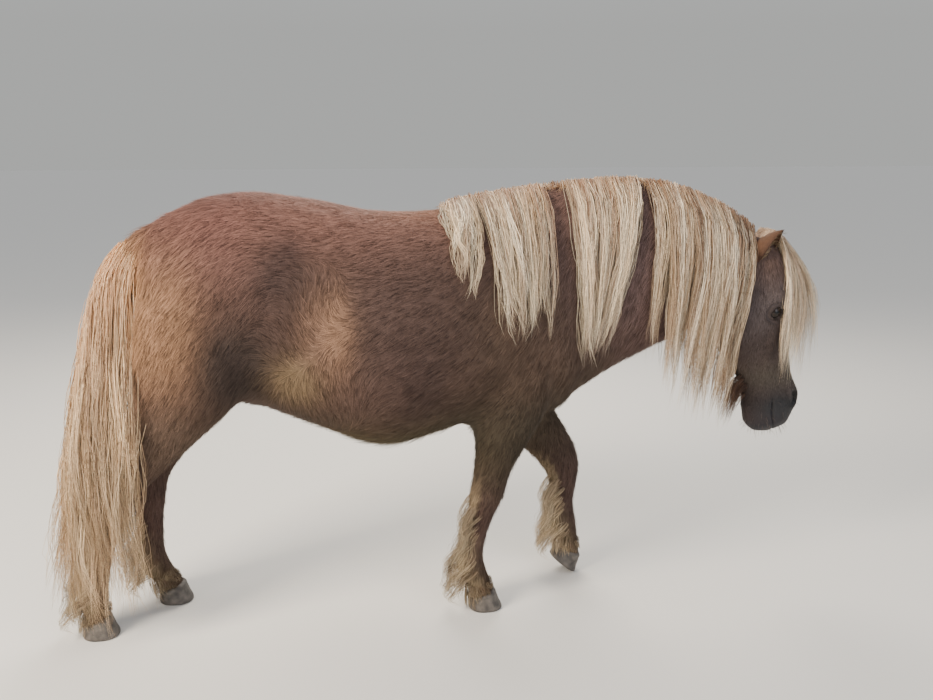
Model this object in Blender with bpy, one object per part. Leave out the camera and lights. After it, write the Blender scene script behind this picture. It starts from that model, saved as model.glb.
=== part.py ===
"""Shetland pony in a slow walk, life size, as closed solids.

Metres. +X runs towards the head, +Y towards the pony's left side, +Z up, and the floor is z = 0.
Flesh is lofted through named sections, made one surface and parted with thin cuts.
Mane, forelock, tail, beard and feather are flat tapered locks fused to what they grow from.
"""

import math
import random
from collections import namedtuple

import bmesh
import bpy
import numpy as np
from mathutils import Matrix, Vector
from mathutils.bvhtree import BVHTree

# Sizes that everything else follows
GAP = 0.0003
HAIR_GAP = 0.0012
ORIGIN_X = 0.059
VOXEL = 0.007
SIDES = 32
RINGS_PER_METRE = 110
RIGHT, LEFT = -1, 1
SEED = 7

# A section runs from a front or top point to a rear or bottom point, each (x, z) in the side view.
# half is its half width, widest where that lies from bottom (0) to top (1), power its squareness, y its middle.
Section = namedtuple("Section", "name top bottom half widest power y", defaults=(0.5, 2.2, 0.0))

TORSO = (
    Section("buttock", (-0.772, 0.850), (-0.772, 0.680), 0.060),
    Section("tail head", (-0.742, 0.918), (-0.752, 0.600), 0.138, 0.50, 2.2),
    Section("thigh", (-0.670, 0.972), (-0.680, 0.548), 0.190, 0.50, 2.3),
    Section("croup", (-0.540, 1.004), (-0.540, 0.520), 0.218, 0.55, 2.3),
    Section("loin", (-0.390, 0.990), (-0.400, 0.464), 0.232, 0.47, 2.2),
    Section("barrel", (-0.230, 0.960), (-0.230, 0.404), 0.268, 0.43, 2.1),
    Section("ribs", (-0.090, 0.962), (-0.090, 0.432), 0.248, 0.43, 2.1),
    Section("girth", (0.020, 0.984), (0.020, 0.462), 0.212, 0.42, 2.1),
    Section("shoulder", (0.120, 0.960), (0.130, 0.458), 0.182, 0.42, 2.2),
    Section("breast", (0.205, 0.870), (0.205, 0.478), 0.148, 0.42, 2.3),
    Section("point", (0.255, 0.740), (0.250, 0.540), 0.085, 0.45, 2.3),
)

NECK = (
    Section("withers", (-0.060, 0.975), (0.080, 0.520), 0.150, 0.40, 2.0),
    Section("base", (0.110, 1.000), (0.215, 0.500), 0.150, 0.38, 2.0),
    Section("lower", (0.260, 1.016), (0.330, 0.560), 0.132, 0.36, 1.9),
    Section("middle", (0.420, 1.016), (0.450, 0.616), 0.112, 0.38, 1.9),
    Section("upper", (0.560, 0.972), (0.540, 0.655), 0.098, 0.42, 2.0),
    Section("throat", (0.655, 0.915), (0.590, 0.672), 0.088, 0.48, 2.0),
    Section("poll", (0.715, 0.872), (0.640, 0.700), 0.075, 0.50, 2.0),
)

HEAD = (
    Section("poll", (0.738, 0.884), (0.672, 0.880), 0.040, 0.50, 2.0),
    Section("crown", (0.762, 0.852), (0.632, 0.832), 0.072, 0.55, 2.1),
    Section("forehead", (0.782, 0.786), (0.602, 0.755), 0.086, 0.56, 2.3),
    Section("eyes", (0.793, 0.722), (0.592, 0.690), 0.090, 0.56, 2.4),
    Section("cheek", (0.799, 0.660), (0.600, 0.625), 0.079, 0.48, 2.4),
    Section("face", (0.804, 0.600), (0.636, 0.570), 0.060, 0.50, 2.3),
    Section("nose", (0.812, 0.542), (0.672, 0.522), 0.050, 0.52, 2.3),
    Section("nostrils", (0.830, 0.484), (0.688, 0.472), 0.053, 0.60, 2.2),
    Section("lips", (0.823, 0.440), (0.694, 0.438), 0.046, 0.60, 2.1),
    Section("lip ends", (0.798, 0.400), (0.706, 0.382), 0.030, 0.55, 2.0),
)

FORELEG_RIGHT = (
    Section("upper arm", (0.175, 0.620), (-0.055, 0.560), 0.080, 0.5, 2.2, -0.118),
    Section("elbow", (0.150, 0.500), (-0.040, 0.490), 0.070, 0.5, 2.2, -0.120),
    Section("forearm", (0.100, 0.405), (-0.026, 0.405), 0.052, 0.5, 2.1, -0.112),
    Section("above knee", (0.066, 0.335), (-0.030, 0.335), 0.041, 0.5, 2.1, -0.104),
    Section("knee", (0.054, 0.292), (-0.036, 0.288), 0.042, 0.5, 2.3, -0.100),
    Section("below knee", (0.034, 0.248), (-0.038, 0.244), 0.033, 0.5, 2.2, -0.098),
    Section("cannon", (0.014, 0.195), (-0.044, 0.190), 0.028, 0.5, 2.1, -0.097),
    Section("fetlock", (0.004, 0.128), (-0.066, 0.118), 0.036, 0.5, 2.1, -0.096),
    Section("pastern", (0.018, 0.080), (-0.044, 0.062), 0.032, 0.5, 2.1, -0.096),
    Section("coronet", (0.028, 0.050), (-0.034, 0.032), 0.034, 0.5, 2.1, -0.096),
    Section("in the hoof", (0.034, 0.034), (-0.036, 0.016), 0.034, 0.5, 2.1, -0.096),
)

FORELEG_LEFT = (
    Section("upper arm", (0.205, 0.600), (-0.020, 0.530), 0.080, 0.5, 2.2, 0.116),
    Section("elbow", (0.212, 0.478), (0.025, 0.425), 0.070, 0.5, 2.2, 0.118),
    Section("forearm", (0.258, 0.385), (0.125, 0.345), 0.052, 0.5, 2.1, 0.108),
    Section("above knee", (0.282, 0.336), (0.176, 0.298), 0.043, 0.5, 2.1, 0.098),
    Section("knee", (0.290, 0.290), (0.202, 0.262), 0.042, 0.5, 2.3, 0.092),
    Section("below knee", (0.283, 0.240), (0.208, 0.232), 0.033, 0.5, 2.2, 0.088),
    Section("cannon", (0.276, 0.190), (0.214, 0.186), 0.028, 0.5, 2.1, 0.085),
    Section("fetlock", (0.284, 0.128), (0.210, 0.126), 0.036, 0.5, 2.1, 0.082),
    Section("pastern", (0.288, 0.090), (0.224, 0.100), 0.032, 0.5, 2.1, 0.080),
    Section("coronet", (0.2918, 0.0517), (0.2311, 0.0757), 0.034, 0.5, 2.1, 0.078),
    Section("in the hoof", (0.292, 0.036), (0.228, 0.058), 0.034, 0.5, 2.1, 0.078),
)

HINDLEG_RIGHT = (
    Section("hip", (-0.480, 0.760), (-0.765, 0.780), 0.100, 0.5, 2.2, -0.112),
    Section("stifle", (-0.515, 0.600), (-0.778, 0.660), 0.090, 0.5, 2.2, -0.124),
    Section("thigh", (-0.575, 0.520), (-0.790, 0.575), 0.076, 0.5, 2.2, -0.120),
    Section("gaskin", (-0.650, 0.452), (-0.812, 0.492), 0.058, 0.5, 2.1, -0.112),
    Section("above hock", (-0.730, 0.382), (-0.860, 0.425), 0.042, 0.5, 2.0, -0.106),
    Section("hock", (-0.792, 0.320), (-0.905, 0.362), 0.038, 0.5, 2.0, -0.102),
    Section("below hock", (-0.820, 0.262), (-0.908, 0.280), 0.033, 0.5, 2.1, -0.099),
    Section("cannon", (-0.846, 0.198), (-0.914, 0.200), 0.028, 0.5, 2.1, -0.096),
    Section("fetlock", (-0.862, 0.128), (-0.938, 0.118), 0.036, 0.5, 2.1, -0.093),
    Section("pastern", (-0.866, 0.080), (-0.930, 0.062), 0.032, 0.5, 2.1, -0.091),
    Section("coronet", (-0.868, 0.050), (-0.930, 0.032), 0.034, 0.5, 2.1, -0.090),
    Section("in the hoof", (-0.862, 0.034), (-0.932, 0.016), 0.034, 0.5, 2.1, -0.090),
)

HINDLEG_LEFT = (
    Section("hip", (-0.450, 0.760), (-0.745, 0.780), 0.100, 0.5, 2.2, 0.112),
    Section("stifle", (-0.480, 0.600), (-0.755, 0.660), 0.090, 0.5, 2.2, 0.122),
    Section("thigh", (-0.535, 0.520), (-0.760, 0.575), 0.076, 0.5, 2.2, 0.116),
    Section("gaskin", (-0.605, 0.455), (-0.775, 0.492), 0.058, 0.5, 2.1, 0.104),
    Section("above hock", (-0.682, 0.385), (-0.815, 0.425), 0.042, 0.5, 2.0, 0.094),
    Section("hock", (-0.733, 0.322), (-0.858, 0.366), 0.038, 0.5, 2.0, 0.086),
    Section("below hock", (-0.750, 0.262), (-0.838, 0.280), 0.033, 0.5, 2.1, 0.080),
    Section("cannon", (-0.758, 0.195), (-0.824, 0.196), 0.028, 0.5, 2.1, 0.075),
    Section("fetlock", (-0.757, 0.126), (-0.832, 0.116), 0.036, 0.5, 2.1, 0.071),
    Section("pastern", (-0.738, 0.080), (-0.802, 0.062), 0.032, 0.5, 2.1, 0.069),
    Section("coronet", (-0.718, 0.050), (-0.780, 0.032), 0.034, 0.5, 2.1, 0.067),
    Section("in the hoof", (-0.712, 0.034), (-0.782, 0.016), 0.034, 0.5, 2.1, 0.067),
)

DOCK = (
    Section("root", (-0.690, 0.950), (-0.735, 0.850), 0.052, 0.5, 2.0),
    Section("bend", (-0.778, 0.924), (-0.758, 0.850), 0.040, 0.5, 2.0),
    Section("upper", (-0.822, 0.860), (-0.768, 0.820), 0.030, 0.5, 2.0),
    Section("middle", (-0.842, 0.760), (-0.796, 0.748), 0.022, 0.5, 2.0),
    Section("end", (-0.856, 0.640), (-0.826, 0.636), 0.014, 0.5, 2.0),
)

# Where lofts meet, the surface is relaxed: middle, reach and how strongly
Blend = namedtuple("Blend", "name centre reach weight")
BLENDS = (
    Blend("neck base", (0.150, 0.0, 0.780), 0.300, 1.0),
    Blend("withers", (-0.030, 0.0, 0.980), 0.160, 1.0),
    Blend("chest", (0.220, 0.0, 0.520), 0.160, 1.0),
    Blend("throat", (0.600, 0.0, 0.700), 0.130, 1.0),
    Blend("poll", (0.690, 0.0, 0.880), 0.080, 0.8),
    Blend("right elbow", (0.040, -0.130, 0.490), 0.150, 1.0),
    Blend("left elbow", (0.080, 0.130, 0.480), 0.160, 1.0),
    Blend("right stifle", (-0.600, -0.120, 0.600), 0.200, 1.0),
    Blend("left stifle", (-0.580, 0.120, 0.600), 0.200, 1.0),
    Blend("croup", (-0.700, 0.0, 0.800), 0.200, 1.0),
    Blend("dock root", (-0.745, 0.0, 0.900), 0.070, 0.8),
    Blend("groin", (-0.560, 0.0, 0.520), 0.120, 1.0),
)

# Muscles, bones and hollows raised in the surface, the same on both sides: middle, radii, height
Bump = namedtuple("Bump", "name centre radii height")
BUMPS = (
    Bump("point of shoulder", (0.205, 0.125, 0.600), (0.055, 0.06, 0.055), 0.010),
    Bump("shoulder blade", (0.060, 0.180, 0.800), (0.050, 0.08, 0.130), 0.008),
    Bump("triceps", (-0.010, 0.200, 0.610), (0.075, 0.08, 0.070), 0.012),
    Bump("behind the elbow", (-0.115, 0.200, 0.560), (0.045, 0.08, 0.080), -0.010),
    Bump("neck groove", (0.330, 0.120, 0.650), (0.110, 0.05, 0.030), -0.007),
    Bump("hip point", (-0.455, 0.190, 0.890), (0.045, 0.05, 0.040), 0.008),
    Bump("flank hollow", (-0.395, 0.230, 0.740), (0.050, 0.06, 0.085), -0.014),
    Bump("stifle muscle", (-0.560, 0.200, 0.620), (0.080, 0.07, 0.080), 0.012),
    Bump("hamstring", (-0.720, 0.140, 0.700), (0.060, 0.07, 0.110), 0.008),
    Bump("cheek", (0.645, 0.080, 0.665), (0.050, 0.05, 0.055), 0.007),
    Bump("brow", (0.738, 0.085, 0.752), (0.024, 0.03, 0.022), 0.007),
    Bump("eye socket", (0.722, 0.090, 0.706), (0.020, 0.03, 0.024), -0.004),
    Bump("cheek crest", (0.725, 0.068, 0.625), (0.012, 0.03, 0.060), 0.005),
    Bump("nose side", (0.765, 0.060, 0.570), (0.030, 0.03, 0.045), -0.005),
    Bump("nostril wing", (0.812, 0.046, 0.478), (0.020, 0.02, 0.022), 0.006),
    Bump("chin", (0.702, 0.0, 0.452), (0.020, 0.03, 0.018), 0.007),
)
SHEATH_CENTRE, SHEATH_RADII = (-0.520, 0.0, 0.522), (0.062, 0.034, 0.026)

# Planes that part the body, by two points of each in the side view.
# What is cut off lies on the left of the way from the first to the second.
NECK_CUT = ((-0.125, 1.000), (0.252, 0.480))
HEAD_CUT = ((0.690, 0.925), (0.580, 0.640))
FORE_CUT = ((0.400, 0.420), (-0.075, 0.420))
HIND_CUT = ((-0.520, 0.470), (-0.860, 0.640))
MIDDLE = 0.5
NODE_TRIANGLES = {"torso": 1800, "neck": 520, "head": 1500, "leg": 420, "dock": 240}
FUSED_TRIANGLES = {"neck": 4300, "head": 3000, "tail": 2900, "leg": 760}

# Head details
EYE_CENTRE, EYE_RADIUS = (0.722, 0.074, 0.706), 0.0185
LID_THICK, LID_LONG, LID_SHORT, LID_TILT = 0.0036, 0.0165, 0.0105, math.radians(-50)
NOSTRIL_CENTRE, NOSTRIL_RADII, NOSTRIL_TILT = (0.820, 0.052, 0.474), (0.007, 0.012, 0.014), math.radians(25)
MOUTH_CORNER, MOUTH_FRONT, MOUTH_GAP = (0.748, 0.474), (0.762, 0.395), 0.0030
MOUTH_CORE = ((0.755, 0.0, 0.462), (0.060, 0.039, 0.052))
EAR_BASE, EAR_TIP = (0.690, 0.048, 0.834), (0.718, 0.074, 0.902)
EAR_OPENS = (0.62, 0.62, -0.48)
EAR_HALF = ((0.0, 0.015), (0.2, 0.022), (0.45, 0.0245), (0.7, 0.0185), (0.9, 0.009), (1.0, 0.002))
EAR_WALL, EAR_DEPTH = 0.0045, 0.75

# Hooves: toe on the floor (x, y) and how far each is tipped onto its toe
HOOF_LENGTH, HOOF_HALF, CORONET_HALF = 0.082, 0.039, 0.0345
TOE_HEIGHT, HEEL_HEIGHT, TOE_SLOPE, WORN = 0.050, 0.032, 0.020, 0.003
HOOVES = {
    "fore_right": (0.048, -0.096, 0.0),
    "fore_left": (0.277, 0.078, math.radians(38)),
    "hind_right": (-0.848, -0.090, 0.0),
    "hind_left": (-0.698, 0.067, 0.0),
}

# A bundle of mane: roots, tips and heights of the tips (each first and last along x), locks
Bundle = namedtuple("Bundle", "name side roots tips low count")
MANE = (
    Bundle("withers", RIGHT, (-0.085, -0.015), (-0.075, -0.045), (0.840, 0.790), 4),
    Bundle("shoulder", RIGHT, (0.015, 0.160), (0.045, 0.130), (0.710, 0.690), 7),
    Bundle("neck", RIGHT, (0.215, 0.385), (0.205, 0.310), (0.630, 0.650), 8),
    Bundle("single", RIGHT, (0.415, 0.425), (0.380, 0.395), (0.650, 0.640), 1),
    Bundle("cheek", RIGHT, (0.435, 0.600), (0.435, 0.590), (0.610, 0.495), 10),
    Bundle("jaw", RIGHT, (0.600, 0.670), (0.595, 0.645), (0.510, 0.570), 4),
    Bundle("off withers", LEFT, (-0.060, 0.360), (-0.050, 0.330), (0.780, 0.660), 8),
    Bundle("off throat", LEFT, (0.380, 0.650), (0.380, 0.615), (0.580, 0.500), 8),
)
CREST_HAIR = 0.017
FORELOCK = {"roots": (-0.035, 0.035), "spread": (-0.085, 0.050), "low": 0.545, "count": 11}
BEARD = {"root": (0.690, 0.475), "tip": (0.668, 0.432), "count": 4}
TAIL_COUNT = 19
DOCK_MIDDLE = ((-0.735, 0.900), (-0.795, 0.885), (-0.825, 0.800), (-0.843, 0.700), (-0.858, 0.610))
FEATHER_COUNT = 8
LOCK_WIDTH, LOCK_THICK, LOCK_TILT = 0.036, 0.011, math.radians(22)
LIFT = 0.0085


def clear_scene():
    for old in list(bpy.data.objects):
        bpy.data.objects.remove(old)


def mesh_object(name, points, faces):
    mesh = bpy.data.meshes.new(name)
    mesh.from_pydata([tuple(map(float, p)) for p in points], [], faces)
    mesh.validate()
    obj = bpy.data.objects.new(name, mesh)
    bpy.context.scene.collection.objects.link(obj)
    return obj


def remove(*objects):
    for obj in objects:
        bpy.data.objects.remove(obj)


def points_of(obj):
    points = np.empty(len(obj.data.vertices) * 3)
    obj.data.vertices.foreach_get("co", points)
    return points.reshape(-1, 3)


def normals_of(obj):
    normals = np.empty(len(obj.data.vertices) * 3, np.float32)
    obj.data.vertex_normals.foreach_get("vector", normals)
    return normals.reshape(-1, 3).astype(float)


def move_points(obj, points):
    obj.data.vertices.foreach_set("co", np.asarray(points, float).ravel())
    obj.data.update()


def apply_modifiers(obj):
    """The object's mesh becomes what its modifiers make of it."""
    graph = bpy.context.evaluated_depsgraph_get()
    mesh = bpy.data.meshes.new_from_object(obj.evaluated_get(graph))
    obj.modifiers.clear()
    obj.data = mesh
    return obj


def modify(obj, kind, **settings):
    modifier = obj.modifiers.new(kind.title(), kind)
    for name, value in settings.items():
        setattr(modifier, name, value)
    return apply_modifiers(obj)


def copy_of(obj, name):
    twin = bpy.data.objects.new(name, obj.data.copy())
    bpy.context.scene.collection.objects.link(twin)
    return twin


def is_closed(obj):
    work = bmesh.new()
    work.from_mesh(obj.data)
    closed = all(edge.is_manifold for edge in work.edges)
    work.free()
    return closed


def boolean(obj, operation, cutters, solver="EXACT"):
    """Joins, cuts or keeps the overlap with the cutters, which are then removed."""
    if not all(is_closed(each) for each in [obj, *cutters]):
        solver = "EXACT"
    group = bpy.data.collections.new("cutters")
    bpy.context.scene.collection.children.link(group)
    for cutter in cutters:
        group.objects.link(cutter)
    modify(
        obj,
        "BOOLEAN",
        operation=operation,
        solver=solver,
        operand_type="COLLECTION",
        collection=group,
    )
    remove(*cutters)
    bpy.data.collections.remove(group)
    return obj


def islands(work):
    """The connected groups of faces of a bmesh."""
    left = set(work.faces)
    while left:
        found, edge = set(), [left.pop()]
        while edge:
            face = edge.pop()
            found.add(face)
            for side in face.edges:
                near = left.intersection(side.link_faces)
                left -= near
                edge.extend(near)
        yield found


def drop_folded_pairs(work):
    """Removes pairs of triangles that lie back to back on the same three corners."""
    by_corners = {}
    for face in work.faces:
        by_corners.setdefault(frozenset(face.verts), []).append(face)
    pairs = [face for faces in by_corners.values() if len(faces) == 2 for face in faces]
    bmesh.ops.delete(work, geom=pairs, context="FACES_ONLY")
    bmesh.ops.delete(work, geom=[e for e in work.edges if not e.link_faces], context="EDGES")


def keep_largest(obj):
    """Only the largest closed surface stays, as triangles, with no point half way along a straight edge."""
    work = bmesh.new()
    work.from_mesh(obj.data)
    straight = [v for v in work.verts if len(v.link_edges) == 2 and v.calc_edge_angle(0) < 0.02]
    bmesh.ops.dissolve_verts(work, verts=straight)
    bmesh.ops.triangulate(work, faces=work.faces)
    drop_folded_pairs(work)
    for _ in range(4):
        doubled = [edge for edge in work.edges if len(edge.link_faces) > 2]
        if doubled:
            bmesh.ops.collapse(work, edges=doubled)
            drop_folded_pairs(work)
    groups = sorted(islands(work), key=lambda faces: sum(f.calc_area() for f in faces))
    scraps = [face for faces in groups[:-1] for face in faces]
    if scraps:
        bmesh.ops.delete(work, geom=scraps, context="FACES")
    bmesh.ops.delete(work, geom=[v for v in work.verts if not v.link_faces], context="VERTS")
    work.to_mesh(obj.data)
    work.free()
    return obj


def smooth_rows(rows, count):
    """Rows of numbers at even steps along a smooth curve through the given rows of (x, z, ...)."""
    rows = np.array(rows, float)
    steps = np.linalg.norm(np.diff(rows[:, :2], axis=0), axis=1)
    at = np.concatenate([[0], np.cumsum(np.maximum(steps, 1e-6))])
    slope = np.gradient(rows, at, axis=0)
    want = np.linspace(0, at[-1], count)
    i = np.clip(np.searchsorted(at, want, side="right") - 1, 0, len(at) - 2)
    width = (at[i + 1] - at[i])[:, None]
    t = (want - at[i])[:, None] / width
    return (
        rows[i] * (1 + 2 * t) * (1 - t) ** 2
        + rows[i + 1] * t * t * (3 - 2 * t)
        + slope[i] * width * t * (1 - t) ** 2
        + slope[i + 1] * width * t * t * (t - 1)
    )


def section_row(section):
    (top_x, top_z), (bottom_x, bottom_z) = section.top, section.bottom
    middle = ((top_x + bottom_x) / 2, (top_z + bottom_z) / 2)
    shape = (section.y, section.half, section.widest, section.power)
    return (*middle, top_x, top_z, bottom_x, bottom_z, *shape)


def section_ring(row, sides=SIDES):
    """The outline of one section: a superellipse, widest where the section says."""
    _, _, top_x, top_z, bottom_x, bottom_z, y, half, widest, power = row
    angle = np.arange(sides) * 2 * math.pi / sides
    across, up = np.cos(angle), np.sin(angle)
    across = np.sign(across) * np.abs(across) ** (2 / power) * half
    up = np.sign(up) * np.abs(up) ** (2 / power)
    share = widest + np.where(up > 0, up * (1 - widest), up * widest)
    x = bottom_x + (top_x - bottom_x) * share
    z = bottom_z + (top_z - bottom_z) * share
    return np.stack([x, y + across, z], axis=1)


def tube(name, rings):
    """A closed mesh through rings of as many points each."""
    count, sides = len(rings), len(rings[0])
    points = np.concatenate(rings)
    faces = []
    for r in range(count - 1):
        for s in range(sides):
            a, b = r * sides + s, r * sides + (s + 1) % sides
            faces.append((a, b, b + sides, a + sides))
    faces.append(tuple(range(sides))[::-1])
    faces.append(tuple(range((count - 1) * sides, count * sides)))
    obj = mesh_object(name, points, faces)
    face_outwards(obj)
    return obj


def face_outwards(obj):
    work = bmesh.new()
    work.from_mesh(obj.data)
    bmesh.ops.triangulate(work, faces=work.faces)
    bmesh.ops.recalc_face_normals(work, faces=work.faces)
    if work.calc_volume(signed=True) < 0:
        bmesh.ops.reverse_faces(work, faces=work.faces)
    work.to_mesh(obj.data)
    work.free()


def loft(name, sections):
    rows = [section_row(s) for s in sections]
    length = sum(math.dist(a[:2], b[:2]) for a, b in zip(rows, rows[1:]))
    count = max(len(rows) * 2, int(length * RINGS_PER_METRE))
    return tube(name, [section_ring(row) for row in smooth_rows(rows, count)])


def ellipsoid(name, centre, radii, segments=24):
    work = bmesh.new()
    bmesh.ops.create_uvsphere(work, u_segments=segments, v_segments=segments // 2, radius=1.0)
    bmesh.ops.transform(work, matrix=Matrix.Diagonal((*radii, 1.0)), verts=work.verts)
    bmesh.ops.translate(work, vec=Vector(centre), verts=work.verts)
    mesh = bpy.data.meshes.new(name)
    work.to_mesh(mesh)
    work.free()
    obj = bpy.data.objects.new(name, mesh)
    bpy.context.scene.collection.objects.link(obj)
    return obj


def falloff(points, centre, radii):
    away = (points - np.array(centre)) / np.array(radii)
    return np.exp(-np.sum(away * away, axis=1))


def whole_flesh():
    """The body with no hair as one smooth closed surface."""
    lofts = {
        "torso": TORSO,
        "neck": NECK,
        "head": HEAD,
        "foreleg right": FORELEG_RIGHT,
        "foreleg left": FORELEG_LEFT,
        "hindleg right": HINDLEG_RIGHT,
        "hindleg left": HINDLEG_LEFT,
    }
    pieces = [loft("flesh " + name, sections) for name, sections in lofts.items()]
    pieces.append(ellipsoid("sheath", SHEATH_CENTRE, SHEATH_RADII))
    body = pieces.pop(0)
    boolean(body, "UNION", pieces, "MANIFOLD")
    modify(body, "REMESH", mode="VOXEL", voxel_size=VOXEL)
    relax_blends(body)
    raise_bumps(body)
    return body


def relax_blends(body):
    points = points_of(body)
    weight = np.full(len(points), 0.02)
    for blend in BLENDS:
        near = falloff(points, blend.centre, (blend.reach,) * 3)
        weight = np.maximum(weight, blend.weight * near)
    group = body.vertex_groups.new(name="blend")
    levels = 20
    for level in range(1, levels + 1):
        chosen = np.flatnonzero(np.ceil(weight * levels) == level)
        group.add(chosen.tolist(), level / levels, "REPLACE")
    modify(body, "SMOOTH", factor=0.5, iterations=60, vertex_group="blend")
    modify(body, "SMOOTH", factor=0.5, iterations=3)


def raise_bumps(body):
    points, normals = points_of(body), normals_of(body)
    lift = np.zeros(len(points))
    for bump in BUMPS:
        x, y, z = bump.centre
        for side in {RIGHT, LEFT} if y else {LEFT}:
            lift += bump.height * falloff(points, (x, y * side, z), bump.radii)
    move_points(body, points + normals * lift[:, None])


def box_beyond(line, gap=0.0, reach=0.0, y_range=(-MIDDLE, MIDDLE), depth=1.3):
    """A box on the left of a line in the side view, starting gap beyond it and longer than it by reach at both ends."""
    (ax, az), (bx, bz) = line
    along = Vector((bx - ax, 0, bz - az)).normalized()
    out = Vector((-along.z, 0, along.x))
    start = Vector((ax, 0, az)) - along * reach + out * gap
    end = Vector((bx, 0, bz)) + along * reach + out * gap
    corners = (start, end, end + out * depth, start + out * depth)
    points = [c + Vector((0, y, 0)) for y in y_range for c in corners]
    faces = [(0, 1, 2, 3), (7, 6, 5, 4), (0, 4, 5, 1), (1, 5, 6, 2), (2, 6, 7, 3), (3, 7, 4, 0)]
    obj = mesh_object("box", points, faces)
    face_outwards(obj)
    return obj


def node_box(node, gap):
    """The box that holds a node, starting gap beyond its cut."""
    kind, _, side = node.partition("_")
    if kind == "neck":
        return box_beyond(NECK_CUT, gap, 0.055)
    if kind == "head":
        return box_beyond(HEAD_CUT, gap, 0.14)
    ends = {"right": (-MIDDLE, 0.0), "left": (0.0, MIDDLE)}[side]
    if kind == "foreleg":
        return box_beyond(FORE_CUT, gap, 0.0, ends, 0.6)
    return box_beyond(HIND_CUT, gap, 0.1, ends, 0.8)


def coarser(obj, triangles):
    now = sum(len(p.vertices) - 2 for p in obj.data.polygons)
    return modify(obj, "DECIMATE", ratio=min(1.0, triangles / now), use_collapse_triangulate=True)


def part_flesh(flesh):
    """The flesh of each node, parted by thin cuts."""
    legs = ["foreleg_right", "foreleg_left", "hindleg_right", "hindleg_left"]
    nodes = {}
    for node in ["neck", "head", *legs]:
        piece = copy_of(flesh, node)
        boolean(piece, "INTERSECT", [node_box(node, -0.012)], "MANIFOLD")
        coarser(piece, NODE_TRIANGLES.get(node, NODE_TRIANGLES["leg"]))
        boolean(piece, "INTERSECT", [node_box(node, GAP / 2)], "MANIFOLD")
        nodes[node] = piece
    boolean(nodes["neck"], "DIFFERENCE", [node_box("head", -GAP / 2)], "MANIFOLD")
    torso = copy_of(flesh, "torso")
    coarse_cuts = [node_box(node, 0.012) for node in ["neck", *legs]]
    boolean(torso, "DIFFERENCE", coarse_cuts, "MANIFOLD")
    coarser(torso, NODE_TRIANGLES["torso"])
    boolean(torso, "DIFFERENCE", [node_box(node, -GAP / 2) for node in ["neck", *legs]], "MANIFOLD")
    nodes["torso"] = torso
    for piece in nodes.values():
        keep_largest(piece)
    return nodes


def inflated(obj, by=GAP):
    """A copy whose surface lies outside the object's by a thin gap."""
    twin = copy_of(obj, "grown " + obj.name)
    move_points(twin, points_of(twin) + normals_of(twin) * by)
    plain = copy_of(obj, "plain " + obj.name)
    modify(twin, "BOOLEAN", operation="UNION", solver="EXACT", use_self=True, object=plain)
    remove(plain)
    return keep_largest(twin)


def turned(obj, angle, axis, about):
    rotation = Matrix.Rotation(angle, 4, axis)
    obj.data.transform(Matrix.Translation(about) @ rotation @ Matrix.Translation(-Vector(about)))
    return obj


def hoof(name, toe_x, y, tip):
    """A hoof with a flat sole, or one tipped onto its toe with a small worn flat."""
    sections = []
    for level, inset in ((0.0, 0.002), (0.05, 0.0), (0.5, 0.0), (1.0, 0.0)):
        toe = (toe_x - TOE_SLOPE * level - inset, TOE_HEIGHT * level)
        heel = (toe_x - HOOF_LENGTH + inset, HEEL_HEIGHT * level)
        half = HOOF_HALF + (CORONET_HALF - HOOF_HALF) * level - inset
        sections.append(Section("wall", toe, heel, half, 0.5, 2.3, y))
    obj = tube(name, [section_ring(section_row(s), 20) for s in sections])
    lower_top = Vector((0, 0, -GAP / 2))
    obj.data.transform(Matrix.Translation(lower_top))
    if tip:
        turned(obj, tip, "Y", (toe_x, y, 0.0))
        obj.data.transform(Matrix.Translation((0, 0, -WORN)))
    floor = box_beyond(((toe_x + 0.2, 0.0), (toe_x - 0.3, 0.0)), depth=0.2)
    return boolean(obj, "DIFFERENCE", [floor], "MANIFOLD")


def cut_at_coronet(leg, hoof_node, toe_x, tip):
    """The leg ends face to face with its hoof."""
    line = [Vector((toe_x - TOE_SLOPE, 0, TOE_HEIGHT)), Vector((toe_x - HOOF_LENGTH, 0, HEEL_HEIGHT))]
    if tip:
        about = Vector((toe_x, 0, 0))
        turn = Matrix.Rotation(tip, 3, "Y")
        line = [turn @ (p - about) + about - Vector((0, 0, WORN)) for p in line]
    flat = [(p.x, p.z) for p in line]
    return boolean(leg, "DIFFERENCE", [box_beyond(flat, -GAP / 2, 0.2, depth=0.3)], "MANIFOLD")


def ear(name, side):
    """A leaf-shaped ear with an open cup."""
    base, tip = Vector(EAR_BASE), Vector(EAR_TIP)
    along = (tip - base).normalized()
    opens = Vector(EAR_OPENS)
    opens = (opens - along * opens.dot(along)).normalized()
    across = along.cross(opens)

    def leaf(name, first, last, thinner, shift):
        rings = []
        for t in np.linspace(first, last, 7):
            half = max(0.0012, np.interp(t, *zip(*EAR_HALF)) - thinner)
            centre = base + (tip - base) * t + opens * half * shift
            angles = np.arange(10) * 2 * math.pi / 10
            ring = [across * math.cos(a) + opens * EAR_DEPTH * math.sin(a) for a in angles]
            rings.append([centre + point * half for point in ring])
        return tube(name, rings)

    obj = leaf(name, 0.0, 1.0, 0.0, 0.0)
    boolean(obj, "DIFFERENCE", [leaf("cup", 0.16, 0.95, EAR_WALL, 0.62)], "MANIFOLD")
    if side == RIGHT:
        obj.data.transform(Matrix.Diagonal((1, -1, 1, 1)))
        face_outwards(obj)
    return keep_largest(obj)


def eye(name, side, radius=EYE_RADIUS, segments=14):
    x, y, z = EYE_CENTRE
    return ellipsoid(name, (x, y * side, z), (radius,) * 3, segments)


def tilted_ellipsoid(name, centre, radii, tilt):
    obj = ellipsoid(name, (0, 0, 0), radii, 12)
    obj.data.transform(Matrix.Translation(centre) @ Matrix.Rotation(tilt, 4, "Y"))
    return obj


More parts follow.
